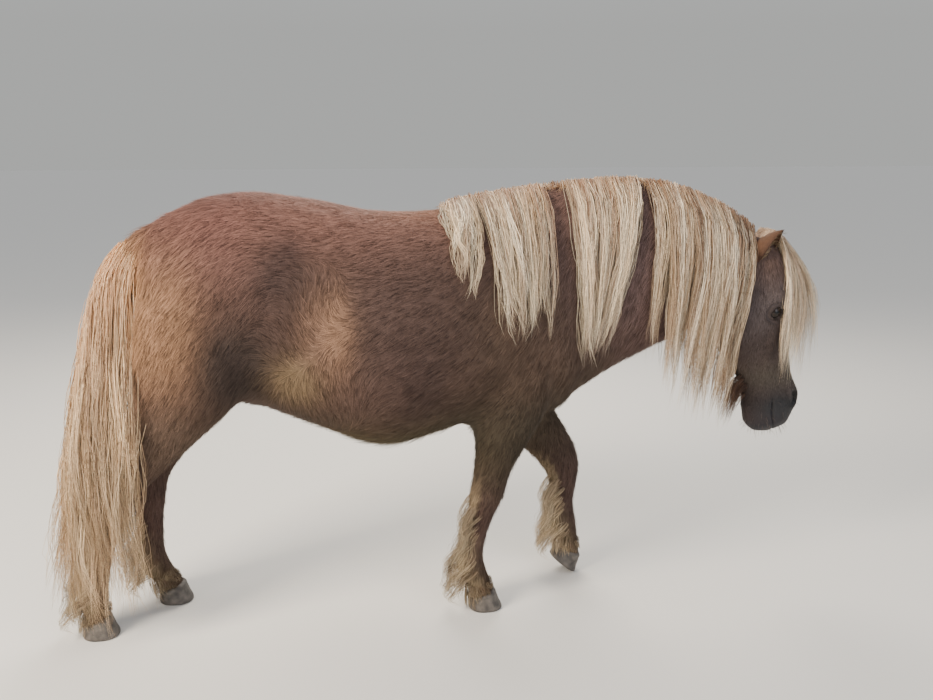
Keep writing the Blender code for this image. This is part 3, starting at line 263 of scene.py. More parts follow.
# Markings and painted light (painted sheen, highlights and shade), painted over one another in this order:
# middle, radii, strength and colour
Mark = namedtuple("Mark", "name centre radii strength colour", defaults=(None,))
COAT_COLOUR = "#4e3d37"
MARKS_AND_PAINTED_LIGHT = rows_of(
    Mark,
    # Painted sheen: the back and croup are drawn lighter where light falls on the top of the coat
    ("back", (-0.34, 0.0, 1.00), (0.46, 0.30, 0.13), 0.85, "#856156"),
    ("croup", (-0.64, 0.0, 0.96), (0.17, 0.30, 0.16), 0.80, "#674741"),
    ("withers", (-0.08, 0.0, 0.99), (0.14, 0.12, 0.05), 0.80, "#84583f"),
    ("loin", (-0.44, 0.20, 0.84), (0.06, 0.12, 0.07), 0.55, "#372f2e"),
    # Painted highlight on the thigh where light falls on it, and painted shadow on the front of the thigh
    ("thigh", (-0.70, 0.16, 0.72), (0.08, 0.14, 0.14), 0.60, "#967255"),
    ("thigh front", (-0.55, 0.20, 0.64), (0.08, 0.12, 0.10), 0.72, "#2a2624"),
    ("ribs", (-0.12, 0.26, 0.74), (0.22, 0.18, 0.18), 0.50, "#463834"),
    ("shoulder", (0.10, 0.18, 0.66), (0.16, 0.16, 0.20), 0.60, "#564638"),
    ("neck", (0.42, 0.0, 0.78), (0.26, 0.24, 0.22), 0.75, "#6b5651"),
    ("breast", (0.25, 0.0, 0.56), (0.10, 0.20, 0.12), 0.60, "#493d32"),
    ("belly", (-0.18, 0.0, 0.42), (0.36, 0.24, 0.09), 0.80, "#544c35"),
    # Painted highlight along the line on the flank where the hair meets in a whorl
    ("flank arc", (-0.37, 0.20, 0.70), (0.055, 0.14, 0.10), 0.50, "#7b604e"),
    ("flank ridge", (-0.330, 0.24, 0.72), (0.030, 0.12, 0.075), 0.25, "#99765c"),
    ("flank fold", (-0.430, 0.16, 0.605), (0.052, 0.16, 0.052), 0.62, "#78664c"),
    ("groin", (-0.53, 0.0, 0.50), (0.06, 0.05, 0.04), 0.90, "#38302d"),
    # Painted highlight on the edge of the buttock
    ("buttock edge", (-0.785, 0.07, 0.77), (0.045, 0.14, 0.17), 0.80, "#a07a59"),
    ("gaskin", (-0.72, 0.11, 0.48), (0.12, 0.14, 0.10), 0.60, "#5f4f43"),
    # Painted shade on the elbow and forearm, under the body
    ("elbow", (0.05, 0.13, 0.47), (0.16, 0.12, 0.09), 0.70, "#3c362d"),
    ("forearm", (0.08, 0.11, 0.37), (0.16, 0.10, 0.07), 0.60, "#3e352c"),
    ("face", (0.72, 0.0, 0.70), (0.13, 0.16, 0.16), 0.90, "#544c4b"),
    ("brow", (0.70, 0.0, 0.83), (0.08, 0.12, 0.06), 0.60, "#624c42"),
    ("under the eye", (0.735, 0.085, 0.645), (0.03, 0.05, 0.05), 0.60, "#3a302d"),
    ("cheek", (0.69, 0.07, 0.60), (0.05, 0.06, 0.06), 0.50, "#413631"),
    ("nose", (0.75, 0.0, 0.535), (0.10, 0.10, 0.040), 0.75, "#544d44"),
    ("muzzle", (0.775, 0.0, 0.455), (0.090, 0.10, 0.062), 1.0, "#2c2c2e"),
    ("lips", (0.760, 0.0, 0.392), (0.080, 0.08, 0.040), 1.0, "#27262b"),
    # Near black inside the nostril: dark skin with painted shade in the hollow
    ("nostril", (0.812, 0.040, 0.479), (0.013, 0.02, 0.019), 0.95, "#0b0a0a"),
    ("eye rim", (0.722, 0.085, 0.706), (0.017, 0.03, 0.015), 0.9, "#241c1b"),
)
LEG_FRONT, LEG_BACK = "#4a3c30", "#968569"
# Painted light on each leg's long hair: the off foreleg drawn lighter as if lit, the near foreleg darker as
# if in shade
LEG_LIGHT_AND_SHADE = {"foreleg_right": 0.86, "foreleg_left": 1.60, "hindleg_right": 0.95, "hindleg_left": 0.95}
TAN_FRONT, TAN_BACK, TAN_FADE = 0.20, 0.35, 0.13

# Bare skin shows on the muzzle and at the groin
BARE = rows_of(
    Mark,
    ("muzzle", (0.775, 0.0, 0.410), (0.085, 0.09, 0.058), 1.0),
    ("nostril", (0.815, 0.040, 0.480), (0.026, 0.03, 0.028), 1.0),
    ("sheath", (-0.52, 0.0, 0.49), (0.05, 0.05, 0.03), 0.8),
)

# The lie of the coat, the same on both sides: place, way and reach
Lie = namedtuple("Lie", "name centre way reach")
LIES = rows_of(
    Lie,
    ("nose", (0.80, 0.05, 0.52), (0.0, 0.10, -1.0), 0.10),
    ("forehead", (0.76, 0.05, 0.78), (0.15, 0.25, -1.0), 0.08),
    ("cheek", (0.65, 0.09, 0.67), (-0.15, 0.0, -1.0), 0.09),
    ("jaw", (0.68, 0.06, 0.52), (-0.25, 0.0, -1.0), 0.09),
    ("throat", (0.55, 0.08, 0.70), (-0.55, 0.0, -0.85), 0.12),
    ("neck", (0.38, 0.10, 0.82), (-0.55, 0.0, -0.85), 0.18),
    ("breast", (0.26, 0.08, 0.58), (-0.20, 0.25, -1.0), 0.12),
    ("shoulder", (0.08, 0.18, 0.74), (-0.65, 0.0, -0.75), 0.16),
    ("ribs", (-0.14, 0.25, 0.72), (-0.90, 0.0, -0.42), 0.17),
    ("back", (-0.25, 0.10, 0.96), (-1.0, 0.35, -0.25), 0.16),
    ("belly", (-0.15, 0.10, 0.43), (-1.0, -0.15, 0.0), 0.16),
    ("flank below", (-0.36, 0.20, 0.58), (0.35, 0.0, -0.95), 0.09),
    ("flank behind", (-0.45, 0.20, 0.68), (-0.25, 0.0, 1.0), 0.07),
    ("flank arc", (-0.36, 0.22, 0.80), (0.35, 0.0, 0.95), 0.06),
    ("hip", (-0.46, 0.18, 0.90), (-0.9, 0.2, 0.1), 0.07),
    ("croup", (-0.62, 0.12, 0.94), (-0.85, 0.15, -0.50), 0.13),
    ("thigh", (-0.62, 0.20, 0.74), (-0.62, 0.0, -0.80), 0.13),
    ("buttock", (-0.77, 0.10, 0.76), (-0.20, 0.10, -1.0), 0.10),
    ("stifle", (-0.55, 0.18, 0.58), (-0.45, 0.0, -0.90), 0.09),
    ("gaskin", (-0.72, 0.12, 0.47), (-0.45, 0.0, -0.90), 0.11),
    ("hind cannon", (-0.86, 0.09, 0.18), (-0.15, 0.0, -1.0), 0.17),
    ("forearm", (0.06, 0.12, 0.40), (-0.20, 0.0, -1.0), 0.12),
    ("near fore cannon", (0.00, 0.10, 0.16), (-0.15, 0.0, -1.0), 0.16),
    ("off fore cannon", (0.25, 0.09, 0.18), (-0.15, 0.0, -1.0), 0.14),
)
TUFT_PIECES, TUFTS_IN_PIECE, SHAG_COUNT = 4, 40000, 8000
CENTRE_EVERY, GATHER = 7, 0.28
SHAGGY = {"thin": 0.8, "flatness": 0.25, "soft": 0.8}

# Head details
EYE_CENTRE, EYE_RADIUS = (0.722, 0.074, 0.706), 0.0185
LID_LONG, LID_SHORT, LID_TILT = 0.0160, 0.0098, math.radians(50)
LID_REACH, LID_THICK, LID_SOFT = 0.033, 0.0026, 0.0028
LID_SIDES, LID_STEPS = 90, 22
LASH_COUNT, WHISKER_COUNT, LID_TUFTS, FINE_HAIR = 46, 110, 1500, 0.0007
NOSTRIL_CENTRE, NOSTRIL_RADII = (0.811, 0.042, 0.480), (0.0115, 0.015, 0.0185)
MOUTH_CORNER, MOUTH_FRONT = (0.748, 0.474), (0.765, 0.392)
EAR_BASE = (0.684, 0.048, 0.834)
EAR_TIP = {RIGHT: (0.730, -0.080, 0.902), LEFT: (0.722, 0.096, 0.890)}
EAR_OPENS = (0.62, 0.62, -0.48)
EAR_HALF = ((-0.25, 0.020), (0, 0.026), (0.2, 0.033), (0.45, 0.034), (0.7, 0.025), (0.9, 0.012), (1, 0.001))
EAR_WALL, EAR_DEPTH, EAR_TUFTS, EAR_LINING = 0.0022, 0.75, 1700, 420

# Hooves: toe on the floor (x, y) and how far each is tipped onto its toe; the wall's heights and insets
HOOF_LENGTH, HOOF_HALF, CORONET_HALF = 0.082, 0.039, 0.0345
TOE_HEIGHT, HEEL_HEIGHT, TOE_SLOPE, WORN = 0.050, 0.032, 0.020, 0.003
HOOF_RINGS, HOOF_SIDES = 26, 56
HOOF_WALL = ((0, 0.004), (0.04, 0.0008), (0.10, 0), (0.4, 0.0005), (0.75, 0), (0.95, 0.0008), (1, 0.004))
HOOVES = {
    "hoof_fore_right": (0.048, -0.096, 0.0),
    "hoof_fore_left": (0.277, 0.078, math.radians(38)),
    "hoof_hind_right": (-0.848, -0.090, 0.0),
    "hoof_hind_left": (-0.698, 0.067, 0.0),
}

# A bundle of mane: roots, tips and heights of the tips (each first and last along x), locks
Bundle = namedtuple("Bundle", "name side roots tips low count")
MANE = rows_of(
    Bundle,
    ("withers", RIGHT, (-0.082, -0.018), (-0.070, -0.048), (0.850, 0.795), 18),
    ("shoulder", RIGHT, (-0.002, 0.152), (0.038, 0.122), (0.710, 0.690), 40),
    ("neck", RIGHT, (0.212, 0.385), (0.225, 0.285), (0.620, 0.650), 46),
    ("single", RIGHT, (0.410, 0.430), (0.380, 0.400), (0.650, 0.620), 6),
    ("cheek", RIGHT, (0.435, 0.610), (0.425, 0.552), (0.560, 0.430), 66),
    ("jaw", RIGHT, (0.600, 0.680), (0.552, 0.592), (0.445, 0.460), 26),
    ("off withers", LEFT, (-0.060, 0.360), (-0.050, 0.330), (0.780, 0.660), 56),
    ("off throat", LEFT, (0.380, 0.650), (0.380, 0.615), (0.580, 0.500), 58),
)
CREST_HAIR, LIFT = 0.012, 0.0065
CREST_FROM, CREST_TO, CREST_COUNT = -0.06, 0.66, 120
LOCK_ROOTS, LOCK_SPREAD, LOCK_LOW, LOCK_COUNT = (-0.038, 0.038), (-0.096, 0.056), 0.545, 84
BEARD_ROOT, BEARD_TIP, BEARD_COUNT = (0.686, 0.490), (0.642, 0.398), 52
DOCK_MIDDLE = ((-0.735, 0.900), (-0.795, 0.885), (-0.825, 0.800), (-0.843, 0.700), (-0.858, 0.610))
TAIL_COUNT, FEATHER_COUNT, FRINGE_COUNT = 104, 62, 46

# Colours of the long hair, from lock to lock and strand by strand
MANE_COLOURS = ("#fff5de", "#f4e2c4", "#e2c9a4", "#c4a37e", "#876752", "#573f33", "#efd9b6", "#fdeecf")
MANE_COLOURS += ("#a8876e", "#6d5244")
FRONT_COLOURS = ("#f6ead4", "#dccbb0", "#c1a98b", "#9f8367", "#6d5647", "#463730", "#d9c5a6", "#f2e4cb")
FRONT_COLOURS += ("#8a705c",)
CREST_COLOURS = ("#97704f", "#b08a66", "#7d5b44", "#c8a67e")
TAIL_COLOURS = ("#ecd2b0", "#d2b796", "#a68c74", "#f8e0bc", "#6b564a", "#c4a483", "#f0d3aa", "#54433a")
FEATHER_COLOURS = ("#b8a589", "#948066", "#705d4c", "#c9b695", "#54463b", "#a08c70")
BEARD_COLOURS = ("#5a4438", "#473831", "#6c5242")

# Long hair: strands on a guide, how far they stand from it at its root, middle and tip, their wave and width,
# colours, steps and seed; colours of root and tip and their shares, the shortest, turns, the spread of roots
Hair = namedtuple(
    "Hair",
    "strands spread wave width colours steps seed root tip root_reach tip_share shortest turns along_crest",
    defaults=("#b3815c", "#f6e8cd", 0.16, 0.30, 0.55, (0.9, 2.8), 0.0),
)
MANE_SPREAD = (0.0065, 0.0075, 0.0024)
MANE_BACK = Hair(23, MANE_SPREAD, 0.007, 0.0014, MANE_COLOURS, 9, 34, root_reach=0.20, along_crest=0.006)
# The front of the mane gets darker tips: painted shade on the thin hanging ends
MANE_FRONT = MANE_BACK._replace(colours=FRONT_COLOURS, seed=35, tip="#b89a78", tip_share=0.45)
MANE_OFF = Hair(14, MANE_SPREAD, 0.007, 0.0018, MANE_COLOURS, 8, 33, along_crest=0.006)
CREST = Hair(
    10, (0.006, 0.008, 0.006), 0.003, 0.0011, CREST_COLOURS, 6, 41,
    "#7a5340", "#d2b088", 0.35, 0.45, shortest=0.6
)
FORELOCK = Hair(16, (0.005, 0.011, 0.007), 0.009, 0.0015, MANE_COLOURS, 9, 34)
TAIL = Hair(
    20, (0.024, 0.014, 0.006), 0.009, 0.0018, TAIL_COLOURS, 16, 35,
    "#f0ba88", "#cdaa7e", 0.32, 0.35, turns=(1.2, 4.2)
)
FEATHER = Hair(
    13, (0.008, 0.010, 0.007), 0.003, 0.0013, FEATHER_COLOURS, 9, 36,
    "#7c6856", "#d2c2a2", 0.20, 0.22
)
FRINGE = Hair(9, (0.005, 0.005, 0.003), 0.003, 0.0012, FEATHER_COLOURS, 5, 37, "#6a5442", "#a58c6e", 0.30)
BEARD = Hair(14, (0.006, 0.008, 0.003), 0.004, 0.0013, BEARD_COLOURS, 6, 40, "#43342c", "#70543f")

CAMERA_PLACE = (-0.41136915, -2.31825882, 1.12)
CAMERA_TURN, CAMERA_PITCH, CAMERA_LENS = math.radians(-9.5), math.radians(-12), 38.585
FLOOR_SIZE = 70.0


def colour(hex_value):
    """Linear colour of an sRGB hex value."""
    parts = [int(hex_value[i : i + 2], 16) / 255 for i in (1, 3, 5)]
    return np.array([c / 12.92 if c <= 0.04045 else ((c + 0.055) / 1.055) ** 2.4 for c in parts])


# Meshes


def new_object(name, data):
    obj = bpy.data.objects.new(name, data)
    bpy.context.scene.collection.objects.link(obj)
    return obj


def mesh_object(name, points, faces):
    mesh = bpy.data.meshes.new(name)
    mesh.from_pydata([tuple(map(float, p)) for p in points], [], faces)
    mesh.shade_smooth()
    return new_object(name, mesh)


def triangle_object(name, points, triangles):
    """A mesh of triangles from arrays, smooth."""
    mesh = bpy.data.meshes.new(name)
    mesh.vertices.add(len(points))
    mesh.vertices.foreach_set("co", points.astype(np.float32).ravel())
    mesh.loops.add(triangles.size)
    mesh.loops.foreach_set("vertex_index", triangles.astype(np.int32).ravel())
    mesh.polygons.add(len(triangles))
    mesh.polygons.foreach_set("loop_start", np.arange(len(triangles), dtype=np.int32) * 3)
    mesh.update(calc_edges=True)
    mesh.shade_smooth()
    return new_object(name, mesh)


def points_of(obj):
    points = np.empty(len(obj.data.vertices) * 3)
    obj.data.vertices.foreach_get("co", points)
    return points.reshape(-1, 3)


def normals_of(obj):
    normals = np.empty(len(obj.data.vertices) * 3, np.float32)
    obj.data.vertex_normals.foreach_get("vector", normals)
    return normals.reshape(-1, 3).astype(float)


def move_points(obj, points):
    obj.data.vertices.foreach_set("co", np.asarray(points, float).ravel())
    obj.data.update()


def modify(obj, kind, **settings):
    modifier = obj.modifiers.new(kind.title(), kind)
    for name, value in settings.items():
        setattr(modifier, name, value)
    graph = bpy.context.evaluated_depsgraph_get()
    mesh = bpy.data.meshes.new_from_object(obj.evaluated_get(graph))
    obj.modifiers.clear()
    obj.data = mesh
    return obj


def unit(vectors):
    return vectors / np.maximum(np.linalg.norm(vectors, axis=-1, keepdims=True), 1e-9)


def keep(obj, name, values):
    """Keeps a number or a colour for every point of the mesh."""
    values = np.asarray(values, np.float32)
    if values.ndim == 1:
        obj.data.attributes.new(name, "FLOAT", "POINT").data.foreach_set("value", values)
        return
    layer = obj.data.color_attributes.new(name, "FLOAT_COLOR", "POINT")
    layer.data.foreach_set("color", np.insert(values, 3, 1, axis=1).ravel())


def dress(obj, material, slot, *solids):
    """Gives a piece its material, hangs it from the root and hides the solids that it stands for; slot is not
    used.
    """
    obj.data.materials.append(material)
    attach(obj, "root")
    if solids:
        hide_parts(*solids)
    return obj


# Flesh


def hermite(a, b, slope_a, slope_b, t):
    """Where a smooth curve from a to b has come to at t, from 0 to 1."""
    ends = a * (1 + 2 * t) * (1 - t) ** 2 + b * t * t * (3 - 2 * t)
    return ends + slope_a * t * (1 - t) ** 2 + slope_b * t * t * (t - 1)


def section_row(section):
    middle = np.add(section.top, section.bottom) / 2
    return (*middle, *section.top, *section.bottom, section.y, section.half, section.widest, section.power)


def smooth_rows(sections, count=None):
    """Sections at even steps along a smooth curve through the given ones, as rows of numbers."""
    rows = np.array([section_row(s) for s in sections], float)
    steps = np.linalg.norm(np.diff(rows[:, :2], axis=0), axis=1)
    at = np.concatenate([[0], np.cumsum(np.maximum(steps, 1e-6))])
    slope = np.gradient(rows, at, axis=0)
    want = np.linspace(0, at[-1], count or max(len(rows) * 2, int(at[-1] * RINGS_PER_METRE)))
    i = np.clip(np.searchsorted(at, want, side="right") - 1, 0, len(at) - 2)
    width = (at[i + 1] - at[i])[:, None]
    t = (want - at[i])[:, None] / width
    return hermite(rows[i], rows[i + 1], slope[i] * width, slope[i + 1] * width, t)


def section_ring(row, sides=SIDES):
    """The outline of one section: a superellipse, widest where the section says."""
    _, _, top_x, top_z, bottom_x, bottom_z, y, half, widest, power = row
    angle = np.arange(sides) * 2 * math.pi / sides
    across, up = np.cos(angle), np.sin(angle)
    across = np.sign(across) * np.abs(across) ** (2 / power) * half
    up = np.sign(up) * np.abs(up) ** (2 / power)
    share = widest + np.where(up > 0, up * (1 - widest), up * widest)
    x = bottom_x + (top_x - bottom_x) * share
    z = bottom_z + (top_z - bottom_z) * share
    return np.stack([x, y + across, z], axis=1)


def sheet_faces(rows, columns, closed=True, first=0):
    """Faces between rows of points; closed joins the end of each row to its start."""
    faces = []
    for r in range(rows - 1):
        for s in range(columns if closed else columns - 1):
            a, b = first + r * columns + s, first + r * columns + (s + 1) % columns
            faces.append((a, b, b + columns, a + columns))
    return faces


def tube_faces(count, sides, first=0):
    """Faces of a closed tube of rings whose points start at first."""
    last = first + (count - 1) * sides
    ends = [tuple(range(first, first + sides))[::-1], tuple(range(last, last + sides))]
    return sheet_faces(count, sides, True, first) + ends


def turned(faces, wanted=True):
    """The faces looking the other way, where that is wanted."""
    return [face[::-1] for face in faces] if wanted else faces


def flesh_surface():
    """The body with its coat smoothed over as one closed surface, places from the near fore hoof."""
    points, faces = [], []
    for sections in (TORSO, NECK, HEAD, *LEGS.values(), DOCK, SHEATH):
        rings = [section_ring(row) for row in smooth_rows(sections)]
        faces += tube_faces(len(rings), SIDES, sum(map(len, points)))
        points += rings
    body = mesh_object("skin", np.concatenate(points), faces)
    modify(body, "REMESH", mode="VOXEL", voxel_size=VOXEL)
    relax_blends(body)
    raise_bumps(body)
    return body


def falloff(points, centre, radii, steep=1):
    """1 at the centre, fading out over the radii; steep 2 has a flatter floor and a steeper wall."""
    away = (points - np.array(centre)) / np.array(radii)
    return np.exp(-(np.sum(away * away, axis=1) ** steep))


def relax_blends(body):
    points = points_of(body)
    weight = np.full(len(points), 0.02)
    for blend in BLENDS:
        weight = np.maximum(weight, blend.weight * falloff(points, blend.centre, blend.reach))
    group = body.vertex_groups.new(name="blend")
    levels = 20
    for level in range(1, levels + 1):
        chosen = np.flatnonzero(np.ceil(weight * levels) == level)
        group.add(chosen.tolist(), level / levels, "REPLACE")
    modify(body, "SMOOTH", factor=0.5, iterations=60, vertex_group="blend")
    modify(body, "SMOOTH", factor=0.5, iterations=3)


def raise_bumps(body):
    points, normals = points_of(body), normals_of(body)
    lift = np.zeros(len(points))
    for bump in BUMPS:
        x, y, z = bump.centre
        for side in (LEFT, RIGHT) if y else (LEFT,):
            lift += bump.height * falloff(points, (x, y * side, z), bump.radii)
    move_points(body, points + normals * lift[:, None])


def finer(body, chosen):
    """Faces whose middle is chosen are split in four."""
    work = bmesh.new()
    work.from_mesh(body.data)
    faces = [f for f in work.faces if chosen(f.calc_center_median())]
    edges = list({e for f in faces for e in f.edges})
    bmesh.ops.subdivide_edges(work, edges=edges, cuts=1, use_grid_fill=True)
    bmesh.ops.triangulate(work, faces=[f for f in work.faces if len(f.verts) > 4])
    work.to_mesh(body.data)
    work.free()


def on_head(place):
    return place.x > 0.60 + 0.4 * max(0.0, place.z - 0.70) and place.z < 0.90


def on_muzzle_or_eye(place):
    near_eye = (place.x - EYE_CENTRE[0]) ** 2 + (place.z - EYE_CENTRE[2]) ** 2 < 0.040**2
    return place.x > 0.60 and (place.z < 0.515 or near_eye)


def on_nostril(place):
    x, y, z = NOSTRIL_CENTRE
    return (place.x - x) ** 2 + (abs(place.y) - y) ** 2 + (place.z - z) ** 2 < 0.030**2


def both_sides(points):
    """Points brought to the left side, for places that are the same on both."""
    return points * (1, 0, 1) + np.abs(points) * (0, 1, 0)


def coat_values(points):
    """Depth, length and width of the coat at each point."""
    values = np.tile(BODY_COAT, (len(points), 1))
    mirrored = both_sides(points)
    for coat in COATS:
        sided = "near" in coat.name or "off" in coat.name
        weight = falloff(points if sided else mirrored, coat.centre, coat.radii)
        weight = np.minimum(1.0, weight * 1.6)[:, None]
        values = values * (1 - weight) + np.array(coat[3:]) * weight
    return values


def shape_skin(body):
    """The skin under the coat, with nostrils, lips, chin groove and hollows for the eyes."""
    for chosen in (on_head, on_muzzle_or_eye, on_nostril):
        finer(body, chosen)
    group = body.vertex_groups.new(name="head")
    group.add(np.flatnonzero(points_of(body)[:, 0] > 0.62).tolist(), 1.0, "REPLACE")
    modify(body, "SMOOTH", factor=0.5, iterations=5, vertex_group="head")
    points, normals = points_of(body), normals_of(body)
    mirrored = both_sides(points)
    lift = -coat_values(points)[:, 0]
    leaning = mirrored + np.outer(mirrored[:, 2] - NOSTRIL_CENTRE[2], (0.30, 0, 0))
    lift += 0.0085 * falloff(leaning, NOSTRIL_CENTRE, np.array(NOSTRIL_RADII) * 1.75)
    lift -= 0.0165 * falloff(leaning, NOSTRIL_CENTRE, NOSTRIL_RADII, steep=2)
    lift -= 0.0080 * falloff(mirrored, (0.804, 0.045, 0.467), (0.007, 0.01, 0.008))
    lift -= mouth_groove(points)
    for bump in MUZZLE_BUMPS:
        lift += bump.height * falloff(mirrored, bump.centre, bump.radii)
    points = points + normals * lift[:, None]
    eye_x, eye_y, eye_z = EYE_CENTRE
    inside = np.hypot(points[:, 0] - eye_x, points[:, 2] - eye_z) < 0.024
    limit = np.where(inside, eye_y + 0.002, 1.0)
    points[:, 1] = np.clip(points[:, 1], -limit, limit)
    move_points(body, points)


def mouth_groove(points):
    """How deep the line between the lips is at each point."""
    (x0, z0), (x1, z1) = MOUTH_CORNER, MOUTH_FRONT
    along = np.array([x1 - x0, z1 - z0])
    length = np.linalg.norm(along)
    along /= length
    away = points[:, (0, 2)] - (x0, z0)
    t = away @ along
    sag = 0.004 * np.sin(math.pi * np.clip(t / length, 0, 1))
    off = away @ np.array([along[1], -along[0]]) - sag
    reach = np.clip((t + 0.004) / 0.012, 0, 1) * (points[:, 2] < 0.49)
    return 0.0055 * reach * np.exp(-((off / 0.0024) ** 2))


# Markings and lie


def mixed(a, b, share):
    return a * (1 - share[:, None]) + b * share[:, None]


def leg_tan(points):
    """How tan the hair is, at the back and low on the legs, and how far behind the leg's middle it is."""
    base = np.zeros(len(points))
    behind = np.zeros(len(points))
    for sections in LEGS.values():
        rows = smooth_rows(sections, 80)
        away = np.linalg.norm(points[:, None, :] - rows[None, ::4, (0, 6, 1)], axis=2)
        nearest = np.argmin(away, axis=1) * 4
        close = away.min(axis=1) < 0.075
        back = np.clip((rows[nearest, 0] - points[:, 0]) / 0.03, -1, 1)
        start = TAN_FRONT + (TAN_BACK - TAN_FRONT) * np.clip(back * 2.2 - 0.8, 0, 1)
        low = np.clip((start - points[:, 2]) / TAN_FADE, 0, 1)
        base = np.where(close, np.maximum(base, low), base)
        behind = np.where(close, back, behind)
    return base, behind


def coat_colours_and_painted_light(points):
    """The coat's colour at each point, with painted light: painted sheen and highlights on the back, croup,
    thigh, buttock edge and flank, painted shade on the front of the thigh, the elbow and forearm and inside
    the nostril.
    """
    mirrored = both_sides(points)
    shown = np.tile(colour(COAT_COLOUR), (len(points), 1))
    for spot in MARKS_AND_PAINTED_LIGHT:
        weight = np.minimum(1.0, 1.4 * falloff(mirrored, spot.centre, spot.radii)) * spot.strength
        shown = mixed(shown, colour(spot.colour), weight)
    low, behind = leg_tan(points)
    pale = np.clip(0.45 + 0.75 * behind, 0, 1)[:, None]
    return mixed(shown, colour(LEG_FRONT) + (colour(LEG_BACK) - colour(LEG_FRONT)) * pale, low)


def bareness(points):
    mirrored = both_sides(points)
    spots = [s.strength * np.minimum(1, 1.5 * falloff(mirrored, s.centre, s.radii)) for s in BARE]
    return np.max(spots, axis=0)


def lie_of_coat(points, normals):
    """The way that the hair runs at each point, along the skin."""
    mirrored = both_sides(points)
    side = np.sign(points[:, 1] + 1e-9)
    way = np.zeros_like(points)
    for lie in LIES:
        away = np.linalg.norm(mirrored - np.array(lie.centre), axis=1)
        way += unit(np.array(lie.way)) * np.exp(-((away / lie.reach) ** 2))[:, None]
        way += unit(np.array(lie.way)) * 1e-4 / (0.01 + away[:, None] ** 2)
    way[:, 1] *= side
    way -= normals * np.sum(way * normals, axis=1, keepdims=True)
    return unit(way)


def drift(points, scale, seed):
    """A smooth random number from -1 to 1 at each point, which changes over the given distance."""
    shift = Vector((seed * 3.1, seed * 1.7, seed * 2.3))
    return np.array([noise.noise(Vector(p) / scale + shift) for p in points])


# Unwrap of the skin's own shape


def unwrap(points):
    """Places on the unrolled skin: trunk on top, head below it, then the four legs side by side."""
    x, y, z = points.T
    middle_z = 0.72 + 0.10 * np.clip(x / 0.5, 0, 1)
    trunk_u = (x + 1.0) / 1.95
    trunk_v = 0.52 + 0.46 * (np.arctan2(y, z - middle_z) / (2 * math.pi) + 0.5)
    u, v = trunk_u, trunk_v
    head = (x > 0.60) & (z < 0.92)
    u = np.where(head, 0.02 + 0.96 * (np.arctan2(y, x - 0.70) / (2 * math.pi) + 0.5), u)
    v = np.where(head, 0.28 + 0.22 * (z - 0.36) / 0.56, v)
    leg = (z < 0.46) & ~head
    number = 2 * (x < -0.3) + (y > 0)
    centre_x = np.where(x < -0.3, -0.84 + 0.08 * (y > 0), 0.01 + 0.24 * (y > 0))
    centre_y = np.where(y > 0, 0.08, -0.095)
    turn = np.arctan2(y - centre_y, x - centre_x) / (2 * math.pi) + 0.5
    u = np.where(leg, 0.005 + 0.25 * number + 0.235 * turn, u)
    v = np.where(leg, 0.01 + 0.25 * z / 0.46, v)
    return np.stack([np.clip(u, 0.002, 0.995), np.clip(v, 0.002, 0.995)], axis=1)


def add_unwrap(obj, places):
    """A map named OFBake from a place for every point."""
    layer = obj.data.uv_layers.new(name="OFBake")
    corners = np.empty(len(obj.data.loops), np.int32)
    obj.data.loops.foreach_get("vertex_index", corners)
    layer.data.foreach_set("uv", places[corners].astype(np.float32).ravel())


# Hair


def hair_object(name, paths, normals, widths, flatness, shades, places, taper=0.75, soft=0.2):
    """Strands along paths (strand, step, xyz): three-sided, flat, and tapering to a point.

    shades holds a colour for every step, and places where each strand stands, for the unwrap.
    soft is how far the shading follows the way the coat faces, not the strand.
    """
    count, steps, _ = paths.shape
    along = unit(np.gradient(paths, axis=1))
    if normals.ndim == 2:
        normals = np.repeat(normals[:, None, :], steps, axis=1)
    across = unit(np.cross(along, normals))
    out = np.cross(across, along)
    share = np.linspace(0, 1, steps)[None, :, None]
    half = np.reshape(widths, (-1, 1, 1)) / 2 * (1 - share) ** taper * np.where(share < 0.15, 0.8, 1.0)
    corners = np.stack([across * half, out * half * 2 * flatness, -across * half], axis=2)
    rings = paths[:, :-1, None, :] + corners[:, :-1]
    size = (steps - 1) * 3 + 1
    points = np.concatenate([rings.reshape(count, -1, 3), paths[:, -1:, :]], axis=1)
    one = [(0, 1, 2)]
    for a, b, c, d in sheet_faces(steps - 1, 3):
        one += [(a, d, c), (a, c, b)]
    last = (steps - 2) * 3
    one += [(last + s, size - 1, last + (s + 1) % 3) for s in range(3)]
    triangles = (np.arange(count)[:, None, None] * size + np.array(one)[None]).reshape(-1, 3)
    obj = triangle_object(name, points.reshape(-1, 3) + TO_FRAME, triangles)
    step_of = np.append(np.repeat(np.arange(steps - 1), 3), steps - 1)
    corner_of = np.append(np.tile(np.arange(3), steps - 1), 1)
    round_way = np.stack([across - out * 0.5, out, -across - out * 0.5], axis=2)[:, :-1]
    shading = unit(normals[:, :-1, None, :] * soft + round_way * (1 - soft)).reshape(count, -1, 3)
    shading = np.concatenate([shading, normals[:, -1:, :]], axis=1).reshape(-1, 3)
    obj.data.normals_split_custom_set_from_vertices(unit(shading))
    keep(obj, "hair_colour", shades[:, step_of].reshape(-1, 3))
    patch = np.stack([corner_of / 2 - 0.5, step_of / (steps - 1) - 0.5], axis=1) * PATCH
    add_unwrap(obj, (unwrap(places)[:, None, :] + patch[None]).reshape(-1, 2))
    return obj


